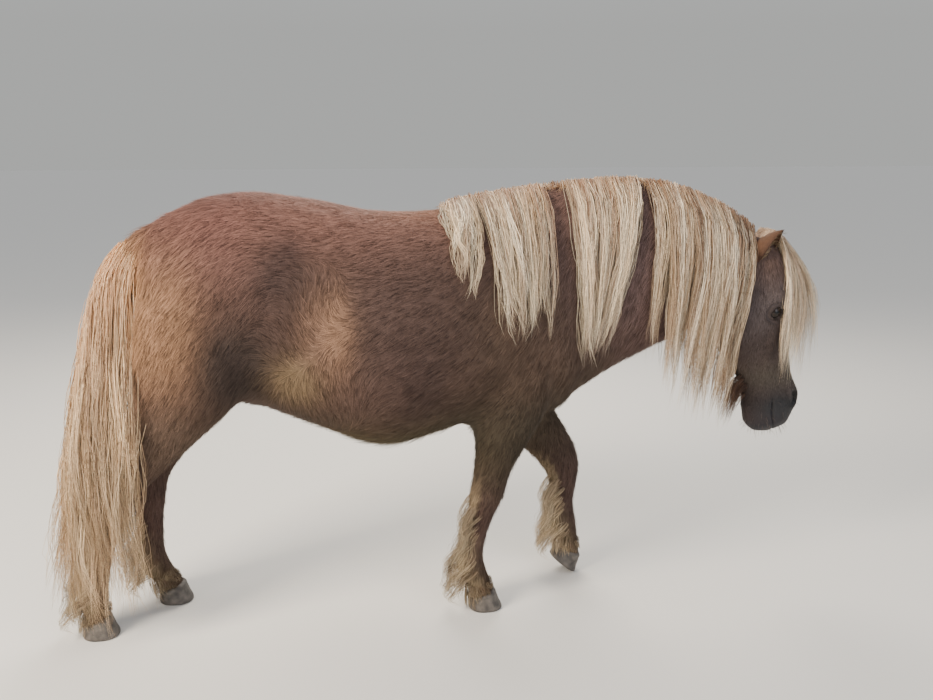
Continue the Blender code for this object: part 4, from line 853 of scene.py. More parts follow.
def scatter(obj, count, density, rng):
    """Random places on a mesh, closer together where the density at its points is high."""
    obj.data.calc_loop_triangles()
    corners = np.empty(len(obj.data.loop_triangles) * 3, np.int32)
    obj.data.loop_triangles.foreach_get("vertices", corners)
    corners = corners.reshape(-1, 3)
    points, normals = points_of(obj), normals_of(obj)
    a, b, c = (points[corners[:, i]] for i in range(3))
    area = np.linalg.norm(np.cross(b - a, c - a), axis=1) / 2
    chance = area * density[corners].mean(axis=1)
    chosen = rng.choice(len(corners), count, p=chance / chance.sum())
    weights = rng.dirichlet((1, 1, 1), count)
    places = np.einsum("ni,nij->nj", weights, points[corners[chosen]])
    facing = unit(np.einsum("ni,nij->nj", weights, normals[corners[chosen]]))
    return places, facing


def gathered_tips(roots, tips, rng):
    """Tips drawn towards the tip of a near neighbour, so that hairs lie in small locks."""
    centres = np.arange(0, len(roots), CENTRE_EVERY)
    tree = KDTree(len(centres))
    for i, c in enumerate(centres):
        tree.insert(Vector(roots[c]), i)
    tree.balance()
    near = centres[np.array([tree.find(Vector(p))[1] for p in roots])]
    share = GATHER * rng.uniform(0.5, 1.2, (len(roots), 1))
    return tips + (tips[near] - tips) * share


def tufts(skin, count, density, rng, steps=2, longer=1.0, rise=1.0):
    """Paths, normals, widths, colours and places of short hair lying over the skin."""
    roots, normals = scatter(skin, count, density, rng)
    values = coat_values(roots)
    way = lie_of_coat(roots, normals)
    across = np.cross(normals, way)
    swerve = 0.22 * drift(roots, 0.05, 1) + rng.normal(0, 0.10, count)
    way = unit(way + across * swerve[:, None])
    length = values[:, 1] * longer * rng.uniform(0.75, 1.2, count)
    height = values[:, 0] * rise * rng.uniform(0.40, 1.0, count)
    tips = roots + way * length[:, None] + normals * height[:, None]
    tips = gathered_tips(roots, tips, rng)
    line = [roots - normals * 0.0006, tips]
    if steps > 2:
        line.insert(1, (roots + tips) / 2 + normals * (height * 0.30)[:, None])
    width = values[:, 2] * rng.uniform(0.75, 1.3, count)
    shade = coat_colours_and_painted_light(roots)
    streaked = roots - way * (0.78 * np.sum(roots * way, axis=1))[:, None]
    uneven = 0.22 * drift(roots, 0.06, 5) + 1.35 * drift(streaked, 0.008, 6) + rng.normal(0, 0.12, count)
    # Painted light: the streaks are made stronger where the coat is lighter, like the small shadows in sunlit
    # hair
    uneven *= 1 + 1.1 * np.clip((shade.mean(axis=1) - 0.06) / 0.08, 0, 1)
    shade *= (1 + uneven).clip(0.45, 1.8)[:, None]
    shades = shade[:, None, :] * np.linspace(0.94, 1.05, steps)[None, :, None]
    return np.stack(line, axis=1), normals, width, shades, roots


def fur(name, base, count, density, seed, material, thin=1.0, flatness=0.22, soft=0.72, **lie):
    """A piece of short hair all over a mesh."""
    rng = np.random.default_rng(SEED + seed)
    paths, normals, widths, shades, places = tufts(base, count, density, rng, **lie)
    made = hair_object(name, paths, normals, widths * thin, flatness, shades, places, 0.7, soft)
    return dress(made, material, "coat")


def resample(controls, steps):
    """Even steps along smooth curves through control points (curve, control, xyz)."""
    at = np.linspace(0, controls.shape[1] - 1, steps)
    i = np.minimum(at.astype(int), controls.shape[1] - 2)
    slope = np.gradient(controls, axis=1)
    t = (at - i)[None, :, None]
    return hermite(controls[:, i], controls[:, i + 1], slope[:, i], slope[:, i + 1], t)


def strands(guides, facing, hair, rng):
    """Strands round each guide curve, and the way that each step of them faces."""
    count, steps = len(guides) * hair.strands, hair.steps
    paths = np.repeat(resample(guides, steps), hair.strands, axis=0)
    normals = np.repeat(resample(facing, steps), hair.strands, axis=0)
    share = np.linspace(0, 1, steps)
    down = share[None, :, None]
    each = (count, 1, 1)
    reach = rng.uniform(hair.shortest, 1.04, count) ** 0.8
    at = share[None, :] * reach[:, None] * (steps - 1)
    low = np.clip(at.astype(int), 0, steps - 2)
    part = (at - low)[..., None]
    rows = np.arange(count)[:, None]
    paths = paths[rows, low] * (1 - part) + paths[rows, low + 1] * part
    along = unit(np.gradient(paths, axis=1))
    across = unit(np.cross(along, normals))
    out = np.cross(across, along)
    spread = np.interp(share, (0, 0.35, 1), hair.spread)[None, :, None]
    angle = rng.uniform(0, 2 * math.pi, each)
    radius = np.sqrt(rng.uniform(0, 1, each))
    loose = 1 + np.where(rng.uniform(size=each) < 0.18, 1.3, 0.0) * down
    paths = paths + across * np.cos(angle) * radius * spread * loose
    paths = paths + out * np.sin(angle) * radius * spread * 0.55 * loose
    phase = rng.uniform(0, 2 * math.pi, (count, 1, 2))
    turns = rng.uniform(*hair.turns, each)
    swing = hair.wave * rng.uniform(0.3, 1.0, each) * np.sqrt(down) * np.sqrt(loose)
    paths = paths + across * np.sin(phase[..., :1] + turns * 2 * math.pi * down) * swing
    paths = paths + out * np.sin(phase[..., 1:] + turns * 5.1 * down) * swing * 0.5
    bow = rng.normal(0, 0.45 * hair.wave, each)
    paths = paths + across * bow * np.sin(math.pi * share)[None, :, None]
    if hair.along_crest:
        shift = rng.uniform(-1, 1, each) * np.array((hair.along_crest, 0, 0))
        paths = paths + shift * (1 - down) ** 2
    return paths, normals


def strand_colours(tones, hair, rng):
    """Colours from root through a strand's own shade to its tip; locks differ as well as strands."""
    options = np.array([colour(c) for c in hair.colours])
    count = len(tones) * hair.strands
    lock_shade = options[rng.integers(len(options), size=len(tones))]
    lock_shade = lock_shade * (tones * rng.uniform(0.72, 1.22, len(tones)))[:, None]
    own = options[rng.integers(len(options), size=count)]
    own = own * 0.40 * np.repeat(tones, hair.strands)[:, None]
    base = np.repeat(lock_shade, hair.strands, axis=0) * 0.60 + own
    base = base * rng.uniform(0.52, 1.38, (count, 1))
    share = np.linspace(0, 1, hair.steps)[None, :, None]
    at_root = np.exp(-((share / hair.root_reach) ** 2)) * rng.uniform(0.3, 1.0, (count, 1, 1))
    at_tip = share**1.5 * hair.tip_share
    shown = base[:, None, :] * (1 - at_tip) + colour(hair.tip) * at_tip
    return shown * (1 - at_root) + colour(hair.root) * at_root


class Surface:
    """Where the flesh lies, seen from one side, from above or from the front."""

    def __init__(self, obj):
        polygons = [tuple(p.vertices) for p in obj.data.polygons]
        self.tree = BVHTree.FromPolygons([v.co for v in obj.data.vertices], polygons)

    def side(self, x, z, side):
        return self.tree.ray_cast(Vector((x, side * 0.9, z)), Vector((0, -side, 0)))[:2]

    def top(self, x, y=0.0):
        return self.tree.ray_cast(Vector((x, y, 1.5)), Vector((0, 0, -1)))[0].z

    def front(self, y, z):
        return self.tree.ray_cast(Vector((1.5, y, z)), Vector((-1, 0, 0)))[0]


def clamp(value):
    return min(1.0, max(0.0, value))


def between(ends, share):
    return ends[0] + (ends[1] - ends[0]) * share


def guides_of(make, places, seed, *about):
    """Guide curves, the ways their hair faces and how light each lock is, from what makes one of them."""
    rng = random.Random(SEED + seed)
    paths, facing, tones = zip(*(make(place, rng, *about) for place in places))
    return np.array(paths, float), np.array(facing, float), np.array(tones, float)


def mane_guide(place, rng, surface):
    """A guide from the crest up, over and down one side of the neck."""
    bundle, i = place
    side = bundle.side
    share = clamp((i + 0.5 + rng.uniform(-1.1, 1.1)) / bundle.count)
    root_x = between(bundle.roots, share)
    tip_x = between(bundle.tips, share) + rng.uniform(-0.020, 0.020)
    low = between(bundle.low, share) + rng.uniform(-0.030, 0.090)
    layer = (i % 5) * 0.0035
    crest = surface.top(root_x)
    poll = clamp((root_x - 0.55) / 0.12)
    rise = CREST_HAIR + rng.uniform(-0.004, 0.003) + 0.010 * poll
    start = rng.uniform(0.000, 0.006)
    path = [(root_x, side * start, crest - 0.006), (root_x, side * (start + 0.009), crest + rise)]
    facing = [(0, side * 0.3, 1), (0, side * 0.6, 1)]
    y = 0.02
    sway, ripple, phase = rng.uniform(0.004, 0.015), rng.uniform(0.002, 0.007), rng.uniform(0, 6.3)
    sweep = rng.uniform(-0.010, 0.012) + 0.012 * (1 - poll) * max(0.0, root_x - 0.40) / 0.15
    for t in (0.10, 0.26, 0.42, 0.58, 0.74, 0.88, 1.0):
        z = crest + (low - crest) * t
        wavy = sway * math.sin(phase + 4 * t) * t + ripple * math.sin(2 * phase + 15 * t) * t
        swept = sweep * math.sin(math.pi * min(1.0, 1.3 * t)) * (1 - t)
        x = root_x + (tip_x - root_x) * t ** (1.3 - 0.6 * poll) + wavy + swept
        point, normal = surface.side(x, z, side)
        if point and abs(point.y) + 0.02 > y - 0.06:
            y = max(y, abs(point.y) + LIFT + layer)
            facing.append((normal.x, normal.y, max(0.0, normal.z)))
        else:
            facing.append((0, side, 0))
        path.append((x, side * y, z))
    # Inner layers of locks are darker: painted shade under the outer layers
    return path, facing, 0.57 + 0.15 * (i % 5)


def crest_guide(i, rng, surface):
    """Short hair on the crest, lying back and over to one side."""
    root_x = CREST_FROM + (CREST_TO - CREST_FROM) * (i + rng.uniform(0, 1)) / CREST_COUNT
    side = RIGHT if i % 2 else LEFT
    full = 0.2 + 0.8 * clamp((root_x + 0.10) / 0.15)
    back, aside = rng.uniform(0.020, 0.050), rng.uniform(0.016, 0.050) * full
    path, facing = [], []
    for t in (0.0, 0.25, 0.5, 0.75, 1.0):
        x, y = root_x - back * t, side * (0.002 + aside * t)
        path.append((x, y, surface.top(x, y) - 0.008 + 0.014 * math.sin(math.pi * (0.05 + 0.8 * t)) * full))
        facing.append((0.0, side * t, 1.0))
    return path, facing, 1.0


def forelock_guide(i, rng, surface):
    share = (i + 0.5) / LOCK_COUNT
    root_y, end_y = between(LOCK_ROOTS, share), between(LOCK_SPREAD, share**1.35)
    low = LOCK_LOW + rng.uniform(-0.05, 0.07) + 0.03 * abs(2 * share - 1)
    path = [(0.712, root_y, 0.876), (0.738, root_y, 0.898)]
    facing = [(0.3, 0, 1), (0.6, 0, 1)]
    layer = 0.001 + 0.004 * (i % 3)
    curl, phase = rng.uniform(0.003, 0.010), rng.uniform(0, 6.3)
    swing = 0.003 + 0.076 * rng.uniform(0.0, 1.0) ** 1.4 * min(1.0, 0.40 + 0.8 * share)
    for t in (0.12, 0.32, 0.56, 0.80, 1.0):
        z = 0.885 + (low - 0.885) * t
        y = root_y + (end_y - root_y) * t**0.7 + curl * math.sin(phase + 7 * t) * t
        point = surface.front(max(-0.03, min(0.03, y)), z)
        wrap = 0.072 * clamp((-y - 0.01) / 0.075) ** 2
        forward = swing * math.sin(2.4 * t**0.9) + curl * math.cos(phase + 7 * t) * t
        x = point.x + 0.004 + layer + forward - wrap
        beside, _ = surface.side(x, z, math.copysign(1, y))
        if beside and x < point.x + 0.002:
            y = math.copysign(max(abs(y), abs(beside.y) + 0.004 + layer), y)
        path.append((x, y, z))
        facing.append((1, 0.8 * math.copysign(min(1, abs(y) / 0.08), y), 0.2))
    return path, facing, 1.3


def beard_guide(i, rng):
    """Chin hair; its roots spread up the jaw."""
    y = (i / (BEARD_COUNT - 1) - 0.5) * 0.05
    (rx, rz), (tx, tz) = BEARD_ROOT, BEARD_TIP
    back = rng.uniform(-0.006, 0.010)
    up = rng.uniform(0, 1) ** 1.5
    rx, rz, tx, tz = rx - 0.046 * up, rz + 0.082 * up, tx - 0.016 * up, tz + 0.050 * up
    start_x, start_z = rx + rng.uniform(-0.012, 0.010), rz + rng.uniform(-0.01, 0.02)
    path = [
        (start_x + 0.012, y, start_z + 0.003),
        (start_x, y, start_z - 0.006),
        (start_x - 0.012, y * 1.1, start_z - 0.022),
        (tx - back, y * 1.2, tz + rng.uniform(-0.006, 0.008)),
    ]
    return path, [(-0.4, 0, 0.9), (-0.8, 0, 0.5), (-1, 0, 0.2), (-1, 0, 0)], 1.0


def tail_guide(i, rng, surface):
    """A guide from the dock; those nearest the hind leg hang outside it."""
    share = (i + 0.5) / TAIL_COUNT
    down = 0.04 + 0.92 * ((i * 7) % TAIL_COUNT) / TAIL_COUNT
    at = np.linspace(0, 1, len(DOCK_MIDDLE))
    root_x, root_z = (np.interp(down, at, values) for values in zip(*DOCK_MIDDLE))
    tip_x = -0.770 - 0.232 * share
    tip_y = -0.175 + 0.14 * max(0.0, share - 0.45) / 0.55 + rng.uniform(-0.02, 0.02)
    tip_z = 0.030 + rng.uniform(0, 0.11) + 0.04 * (share < 0.3)
    out = Vector((-math.cos(2.4 * (0.5 - share)), -math.sin(4.8 * (0.5 - share)), 0))
    path, facing = [(root_x, rng.uniform(-0.004, 0.004), root_z)], [tuple(out)]
    curl, phase = rng.uniform(0.006, 0.019), rng.uniform(0, 6.3)
    reach = rng.uniform(0.036, 0.056)
    for t in (0.08, 0.22, 0.36, 0.50, 0.63, 0.76, 0.88, 1.0):
        z = root_z + (tip_z - root_z) * t
        swell = reach * math.sin(math.pi * min(1.0, 0.26 + t * 0.74))
        x = root_x + (tip_x - root_x) * t**0.8 + out.x * swell + curl * math.sin(phase + 13 * t) * t
        x += 0.014 * max(0.0, 1 - share / 0.4) * math.sin(math.pi * min(1.0, 1.5 * t))
        y = tip_y * (t * t * (3 - 2 * t)) ** 0.8 + out.y * swell + curl * 0.6 * math.cos(phase + 11 * t) * t
        for ahead in (0.0, 0.022):
            point, _ = surface.side(x + ahead, z, RIGHT)
            if point and point.y < 0.0 and z < 0.60:
                y = min(y, point.y - 0.012)
        path.append((x, y, z))
        facing.append((out.x * 0.7, out.y - 0.5 * t, 0))
    return path, facing, 0.62 + 0.11 * (i * 5 % 7)


def feather_guide(i, rng, rows):
    """A guide down the back of the leg from the knee or hock, in a curl that turns in to the heel."""
    joint = "knee" if "knee" in rows else "hock"
    places = [Vector(rows[name].bottom) for name in (joint, "below " + joint, "cannon", "fetlock", "pastern")]
    y = rows["fetlock"].y
    share = 3.9 * ((i + 0.5) / FEATHER_COUNT) ** 0.75
    step = int(share)
    on = places[step].lerp(places[step + 1], share - step)
    aside = rng.uniform(-1, 1) * (0.027 if share < 2.2 else 0.033)
    wrap = 0.55 * aside * aside / 0.020
    long = rng.uniform(0.070, 0.115) * (1.0 if share < 3 else 0.65)
    low = max(0.014, on.y - long)
    back = (0.018 + 0.007 * share) * rng.uniform(0.15, 1.1)
    curl, phase = rng.uniform(0.005, 0.009), 3.2 * share + 45 * aside + rng.uniform(-0.5, 0.5)
    path = [(on.x + 0.010 + wrap, y + aside * 0.9, on.y + 0.008), (on.x + 0.001 + wrap, y + aside, on.y)]
    for down in (0.2, 0.4, 0.6, 0.8, 1.0):
        out = back * math.sin(math.pi * (0.12 + 0.66 * down))
        turn = curl * math.sin(phase + 9 * down) * min(1.0, 2 * down)
        aslant = curl * math.cos(phase + 9 * down) * min(1.0, 2 * down)
        x = on.x + wrap * (1 - down * 0.4) - out + turn + 0.3 * max(0.0, share - 2.5) * 0.02 * down
        path.append((x, y + aside * (1 + 0.25 * down) + aslant, on.y + (low - on.y) * down))
    return path, [(-1, 30 * aside, 0)] * 7, 1.0


def fringe_guide(i, rng, rows):
    """A guide from round the pastern, hanging over the top of the hoof, longest at the heel."""
    ends = rows["pastern"], rows["in the hoof"]
    middles = [Vector(((s.top[0] + s.bottom[0]) / 2, s.y, (s.top[1] + s.bottom[1]) / 2)) for s in ends]
    spans = [Vector((s.top[0] - s.bottom[0], 0, s.top[1] - s.bottom[1])) / 2 for s in ends]
    axis = (middles[1] - middles[0]).normalized()
    turn = 2 * math.pi * (i + rng.uniform(0, 1)) / FRINGE_COUNT
    level = rng.uniform(-0.15, 0.55)
    heel = (1 - math.cos(turn)) / 2
    spoke = spans[0].lerp(spans[1], level) * math.cos(turn) + Vector((0, 0.033, 0)) * math.sin(turn)
    out = spoke.normalized()
    long = rng.uniform(0.008, 0.014) + 0.040 * heel**1.3
    root = middles[0].lerp(middles[1], level) + spoke * 0.94
    aslant = Vector((0, rng.uniform(-0.006, 0.006), 0))
    path = [tuple(root)]
    for down, away in ((0.35, 0.0028), (0.70, 0.0042), (1.0, 0.0034)):
        path.append(tuple(root + axis * long * down + out * away * (0.5 + 2.3 * heel) + aslant * down))
    return path, [tuple(out)] * 4, 0.45 + 0.62 * heel


def long_hair(name, guides, hair, material, slot="coat", tone=1.0):
    """One piece of long hair from its guides."""
    rng = np.random.default_rng(SEED + hair.seed)
    lines, facing, tones = guides
    paths, normals = strands(lines, facing, hair, rng)
    paths[..., 2] = np.maximum(paths[..., 2], 0.004)
    widths = hair.width * rng.uniform(0.7, 1.25, len(paths))
    colours = strand_colours(tones * tone, hair, rng)
    made = hair_object(name, paths, normals, widths, 0.45, colours, paths[:, 0], taper=0.5)
    return dress(made, material, slot)


# Eyes, lids, ears and hooves


def eye_frame(side):
    """The middle of an eye, the long and short ways of its opening and the way it faces."""
    x, y, z = EYE_CENTRE
    long = Vector((math.cos(LID_TILT), 0, math.sin(LID_TILT)))
    short = Vector((-math.sin(LID_TILT), 0, math.cos(LID_TILT)))
    return Vector((x, y * side, z)), long, short, Vector((0, side, 0))


def eyeball(side, material):
    """A globe with a slightly raised cornea."""
    centre, long, short, out = eye_frame(side)
    rings, sides = 26, 40
    points = []
    for r in range(rings):
        angle = math.pi * (r + 0.5) / rings
        radius = EYE_RADIUS * (1 + 0.05 * math.exp(-((angle / 0.45) ** 2)))
        for s in range(sides):
            turn = 2 * math.pi * s / sides
            spoke = long * math.cos(turn) + short * math.sin(turn)
            points.append(out * math.cos(angle) * radius + spoke * math.sin(angle) * radius)
    name = "eye_" + SIDE_NAME[side]
    obj = mesh_object(name + "_globe", points, turned(tube_faces(rings, sides), side == LEFT))
    obj.location = centre + Vector(TO_FRAME)
    dress(obj, material, "eye", name)


def dent(s, at, width):
    return math.exp(-(((s - at) / width) ** 2))


def lid_points(side, surface):
    """Rings of points from the rims of both lids out into the head, and how bare each point is."""
    centre, long, short, out = eye_frame(side)
    points, bare = [], []
    for r in range(LID_STEPS):
        s = max(0.0, (r - 1) / (LID_STEPS - 2))
        for a in range(LID_SIDES):
            turn = 2 * math.pi * a / LID_SIDES
            upper, lower = max(0.0, -math.sin(turn)), max(0.0, math.sin(turn))
            corner = 1 - 0.08 * abs(math.cos(turn)) ** 6
            narrow = LID_SHORT * (1 + 0.10 * upper - 0.12 * lower)
            rim = long * math.cos(turn) * LID_LONG * corner + short * math.sin(turn) * narrow
            edge = (long * math.cos(turn) + short * math.sin(turn) * 0.92) * LID_REACH
            plan = rim + (edge - rim) * s**1.15
            thick = 0.0004 if r == 0 else LID_THICK * min(1.0, 0.45 + 2.2 * s)
            globe = math.sqrt(max(0.0, (EYE_RADIUS + thick) ** 2 - plan.length * plan.length))
            point, _ = surface.side(centre.x + plan.x, centre.z + plan.z, side)
            skin = abs(point.y) - abs(centre.y) - 0.0010
            height = globe
            if s > 0.06:
                height = LID_SOFT * math.log(math.exp(globe / LID_SOFT) + math.exp((skin - 0.002) / LID_SOFT))
            height = height + (skin - height) * min(1.0, max(0.0, (s - 0.55) / 0.30))
            height -= 0.0060 * max(0.0, (s - 0.82) / 0.18)
            height -= 0.0022 * dent(s, 0.40, 0.055) * upper
            height += 0.0012 * dent(s, 0.26, 0.09) * upper
            height -= 0.0009 * dent(s, 0.34, 0.045) * lower
            points.append(centre + plan + out * height)
            bare.append(max(0.0, 1 - s * 8.0))
    return points, np.array(bare)


def lids(side, surface, material, hair):
    """Both lids as one ring of skin from the globe out into the head, with its fur and lashes."""
    points, rim = lid_points(side, surface)
    faces = turned(sheet_faces(LID_STEPS, LID_SIDES), side == RIGHT)
    obj = mesh_object("lids_" + SIDE_NAME[side], points, faces)
    place = points_of(obj)
    furred = np.clip(1 - 1.5 * rim, 0, 1) * (np.arange(len(place)) < LID_SIDES * (LID_STEPS - 3))
    fur(f"lid_{SIDE_NAME[side]}_fur", obj, LID_TUFTS, furred, 50 + side, hair, **SHAGGY)
    lashes(side, np.array(points[LID_SIDES * 2 : LID_SIDES * 3]), hair)
    keep(obj, "coat_and_painted_light", mixed(coat_colours_and_painted_light(place), colour("#1c1614"), rim))
    keep(obj, "bare", rim)
    move_points(obj, place + TO_FRAME)
    dress(obj, material, "coat")


def lashes(side, margin, hair):
    """Dark lashes along the upper lid, fanned and bent down."""
    _, long, short, out = map(np.array, eye_frame(side))
    rng = np.random.default_rng(SEED + 60 + side)
    place = rng.uniform(1.12, 1.88, LASH_COUNT) * math.pi
    at = place / (2 * math.pi) * len(margin)
    roots = margin[at.astype(int) % len(margin)]
    fan = long[None, :] * np.cos(place)[:, None] * 0.6 - short[None, :] * 0.35
    way = unit(fan + out[None, :] * 0.9)
    length = rng.uniform(0.007, 0.012, (LASH_COUNT, 1))
    droop = np.array([0, 0, -0.004])
    bent = roots + way * length * 0.75 + droop * 0.3
    line = [roots, roots + way * length * 0.4, bent, roots + way * length + droop]
    shades = np.tile(colour("#15100e"), (LASH_COUNT, 4, 1))
    normals = np.tile(short, (LASH_COUNT, 1))
    name = "lashes_" + SIDE_NAME[side]
    made = hair_object(name, np.stack(line, axis=1), normals, FINE_HAIR, 0.6, shades, roots, taper=0.5)
    dress(made, hair, "coat")


def whiskers(skin, material):
    """Long single hairs on the lips, chin and nose."""
    rng = np.random.default_rng(SEED + 70)
    place = points_of(skin)
    where = falloff(place, (0.760, 0.0, 0.400), (0.07, 0.08, 0.05))
    where = where + 0.4 * falloff(place, (0.71, 0.0, 0.45), (0.03, 0.05, 0.04))
    roots, facing = scatter(skin, WHISKER_COUNT, where, rng)
    length = rng.uniform(0.010, 0.028, (WHISKER_COUNT, 1))
    down = np.array([0, 0, -1.0])
    way = unit(facing + down * 0.5 + rng.normal(0, 0.25, roots.shape))
    bent = roots + way * length * 0.55
    line = [roots - facing * 0.001, bent, bent + unit(way + down * 0.6) * length * 0.45]
    paths = resample(np.stack(line, axis=1), 5)
    shades = np.tile(colour("#4d4440"), (WHISKER_COUNT, 5, 1)) * rng.uniform(0.5, 1.8, (WHISKER_COUNT, 1, 1))
    made = hair_object("whiskers", paths, facing, FINE_HAIR, 0.8, shades, roots, taper=0.6)
    dress(made, material, "coat")


def ear(side, material, hair):
    """A leaf-shaped ear, curled round an open cup, with its wall, colour with painted shade inside the cup,
    fur and lining.
    """
    flip = Vector((1, side, 1))
    base, tip = Vector(EAR_BASE) * flip, Vector(EAR_TIP[side])
    along = (tip - base).normalized()
    opens = Vector(EAR_OPENS) * flip
    opens = (opens - along * opens.dot(along)).normalized()
    across = along.cross(opens)
    rings, sides = 22, 26
    points = []
    for r in range(rings):
        t = -0.25 + 1.25 * r / (rings - 1)
        half = float(np.interp(t, *zip(*EAR_HALF)))
        curl = math.radians(132 - 42 * max(0.0, t))
        for s in range(sides):
            turn = curl * (2 * s / (sides - 1) - 1)
            spoke = across * math.sin(turn) - opens * math.cos(turn) * EAR_DEPTH
            points.append(base + (tip - base) * t + spoke * half)
    label = SIDE_NAME[side]
    obj = mesh_object(f"ear_{label}_shell", points, sheet_faces(rings, sides, closed=False))
    length = (tip - base).length
    base, along, opens = np.array(base), np.array(along), np.array(opens)
    points = points_of(obj)
    share = (points - base) @ along / length
    outward = -1 if np.mean(np.sum(normals_of(obj) * -opens, axis=1)) < 0 else 1
    rng = np.random.default_rng(SEED + 20 + side)
    places, facing = scatter(obj, EAR_TUFTS, np.ones(len(points)), rng)
    facing = facing * outward
    way = unit(along - facing * (facing @ along)[:, None])
    length = rng.uniform(0.006, 0.011, len(places))
    lifts = rng.uniform(0.001, 0.003, len(places))
    tips = places + way * length[:, None] + facing * lifts[:, None]
    paths = np.stack([places - facing * 0.0005, tips], axis=1)
    shade = colour("#604636") * rng.uniform(0.65, 1.30, (len(places), 1))
    shades = np.stack([shade * 0.85, shade * 1.15], axis=1)
    widths = rng.uniform(0.0011, 0.0018, len(places))
    dress(hair_object(f"ear_{label}_fur", paths, facing, widths, 0.4, shades, places), hair, "coat")
    inner, facing = scatter(obj, EAR_LINING, np.clip(1.2 - share, 0.1, 1), rng)
    facing = -facing * outward
    way = unit(along * 0.8 + facing * 0.6 + opens * 0.5)
    tips = inner + way * rng.uniform(0.012, 0.024, (len(inner), 1))
    paths = np.stack([inner, (inner + tips) / 2 + opens * 0.003, tips], axis=1)
    shade = colour("#b09777") * rng.uniform(0.4, 1.0, (len(inner), 1))
    shades = np.repeat(shade[:, None, :], 3, axis=1)
    dress(hair_object(f"ear_{label}_lining", paths, facing, 0.0011, 0.4, shades, inner), hair, "coat")
    # Darker towards the inside of the cup: painted shade
    painted_cup_shade = np.clip(np.sum((points - base) * opens, axis=1) / 0.02 + 0.2, 0, 1) * 0.7
    keep(obj, "coat_and_painted_light", mixed(colour("#5c4232"), colour("#2c2220"), painted_cup_shade))
    keep(obj, "bare", np.full(len(points), 0.2))
    move_points(obj, points + TO_FRAME)
    modify(obj, "SOLIDIFY", thickness=EAR_WALL, offset=0)
    obj.data.shade_smooth()
    dress(obj, material, "coat", "ear_" + label)


def hoof(name, toe_x, y, tip, material):
    """A worn hoof: wall with a rolled edge, or tipped onto its toe."""
    sections = []
    for level, inset in HOOF_WALL:
        toe = (toe_x - TOE_SLOPE * level - inset, TOE_HEIGHT * level)
        heel = (toe_x - HOOF_LENGTH + inset, HEEL_HEIGHT * level)
        half = HOOF_HALF + (CORONET_HALF - HOOF_HALF) * level - inset
        sections.append(Section("wall", toe, heel, half, 0.5, 2.3, y))
    points = np.concatenate([section_ring(row, HOOF_SIDES) for row in smooth_rows(sections, HOOF_RINGS)])
    if tip:
        about = np.array((toe_x, y, 0.0))
        points = (points - about) @ np.array(Matrix.Rotation(tip, 3, "Y")).T + about - (0, 0, WORN)
    points[:, 2] = np.maximum(points[:, 2], 0.0)
    obj = mesh_object(name + "_wall", points + TO_FRAME, turned(tube_faces(HOOF_RINGS, HOOF_SIDES)))
    keep(obj, "height_on_wall", np.repeat(np.linspace(0, 1, HOOF_RINGS), HOOF_SIDES))
    dress(obj, material, "horn", name)


# Materials


def fill(node, values, **links):
    """Sets a node's properties and inputs, a ramp's stops among them, and links outputs to its inputs.

    A link is named for its input, or i and the input's number.
    """
    for key, value in values.items():
        if key == "stops":
            for i, (position, tint) in enumerate(value):
                stops = node.color_ramp.elements
                stop = stops[i] if i < 2 else stops.new(position)
                stop.position = position
                stop.color = (*colour(tint), 1)
        elif isinstance(key, str) and hasattr(node, key):
            setattr(node, key, value)
        else:
            node.inputs[key].default_value = value
    for key, source in links.items():
        number = key[1:] if key[0] == "i" else ""
        target = node.inputs[int(number) if number.isdigit() else key.replace("_", " ")]
        node.id_data.links.new(source, target)


def add(tree, kind, output, values=None, **links):
    """Adds a node with its settings and links, and gives one of its outputs."""
    node = tree.nodes.new("ShaderNode" + kind)
    fill(node, values or {}, **links)
    return node.outputs[output]


def new_material(name):
    made = bpy.data.materials.new(name)
    made.use_nodes = True
    tree = made.node_tree
    return made, tree, tree.nodes["Principled BSDF"]


def varied(tree, tint, pattern, darkest):
    """A colour made darker and lighter by a pattern."""
    reach = {"From Min": 0.3, "From Max": 0.7, "To Min": darkest, "To Max": 1.12}
    shade = add(tree, "MapRange", "Result", reach, Value=pattern)
    return add(tree, "VectorMath", "Vector", {"operation": "SCALE"}, i0=tint, Scale=shade)


def winter_coat_skin():
    """Chestnut coat where it lies flat: matt, with streaks about 2 mm wide; bare skin has a low sheen."""
    made, tree, shader = new_material("chestnut coat over skin")
    place = add(tree, "TexCoord", "Object")
    # The coat colour attribute holds painted sheen, highlights and shade as well as the coat's own colour
    markings_and_painted_light = add(tree, "Attribute", "Color", {"attribute_name": "coat_and_painted_light"})
    bare = add(tree, "Attribute", "Fac", {"attribute_name": "bare"})
    stretched = add(tree, "Mapping", "Vector", {"Scale": (1.0, 1.0, 0.35)}, Vector=place)
    streak = {"Scale": 420.0, "Detail": 4.0, "Roughness": 0.6}
    streaks = add(tree, "TexNoise", "Fac", streak, Vector=stretched)
    pores = add(tree, "TexVoronoi", "Distance", {"Scale": 620.0}, Vector=place)
    toned = varied(tree, markings_and_painted_light, streaks, 0.84)
    rough = add(tree, "MapRange", "Result", {"To Min": 0.80, "To Max": 0.50}, Value=bare)
    shallow = add(tree, "Math", 0, {"operation": "MULTIPLY", 1: 0.35}, i0=pores)
    relief = add(tree, "Mix", 0, {"data_type": "FLOAT"}, i0=bare, i2=streaks, i3=shallow)
    bump = add(tree, "Bump", "Normal", {"Strength": 0.6, "Distance": 0.0012}, Height=relief)
    fill(shader, {"Specular IOR Level": 0.18}, Base_Color=toned, Roughness=rough, Normal=bump)
    return made


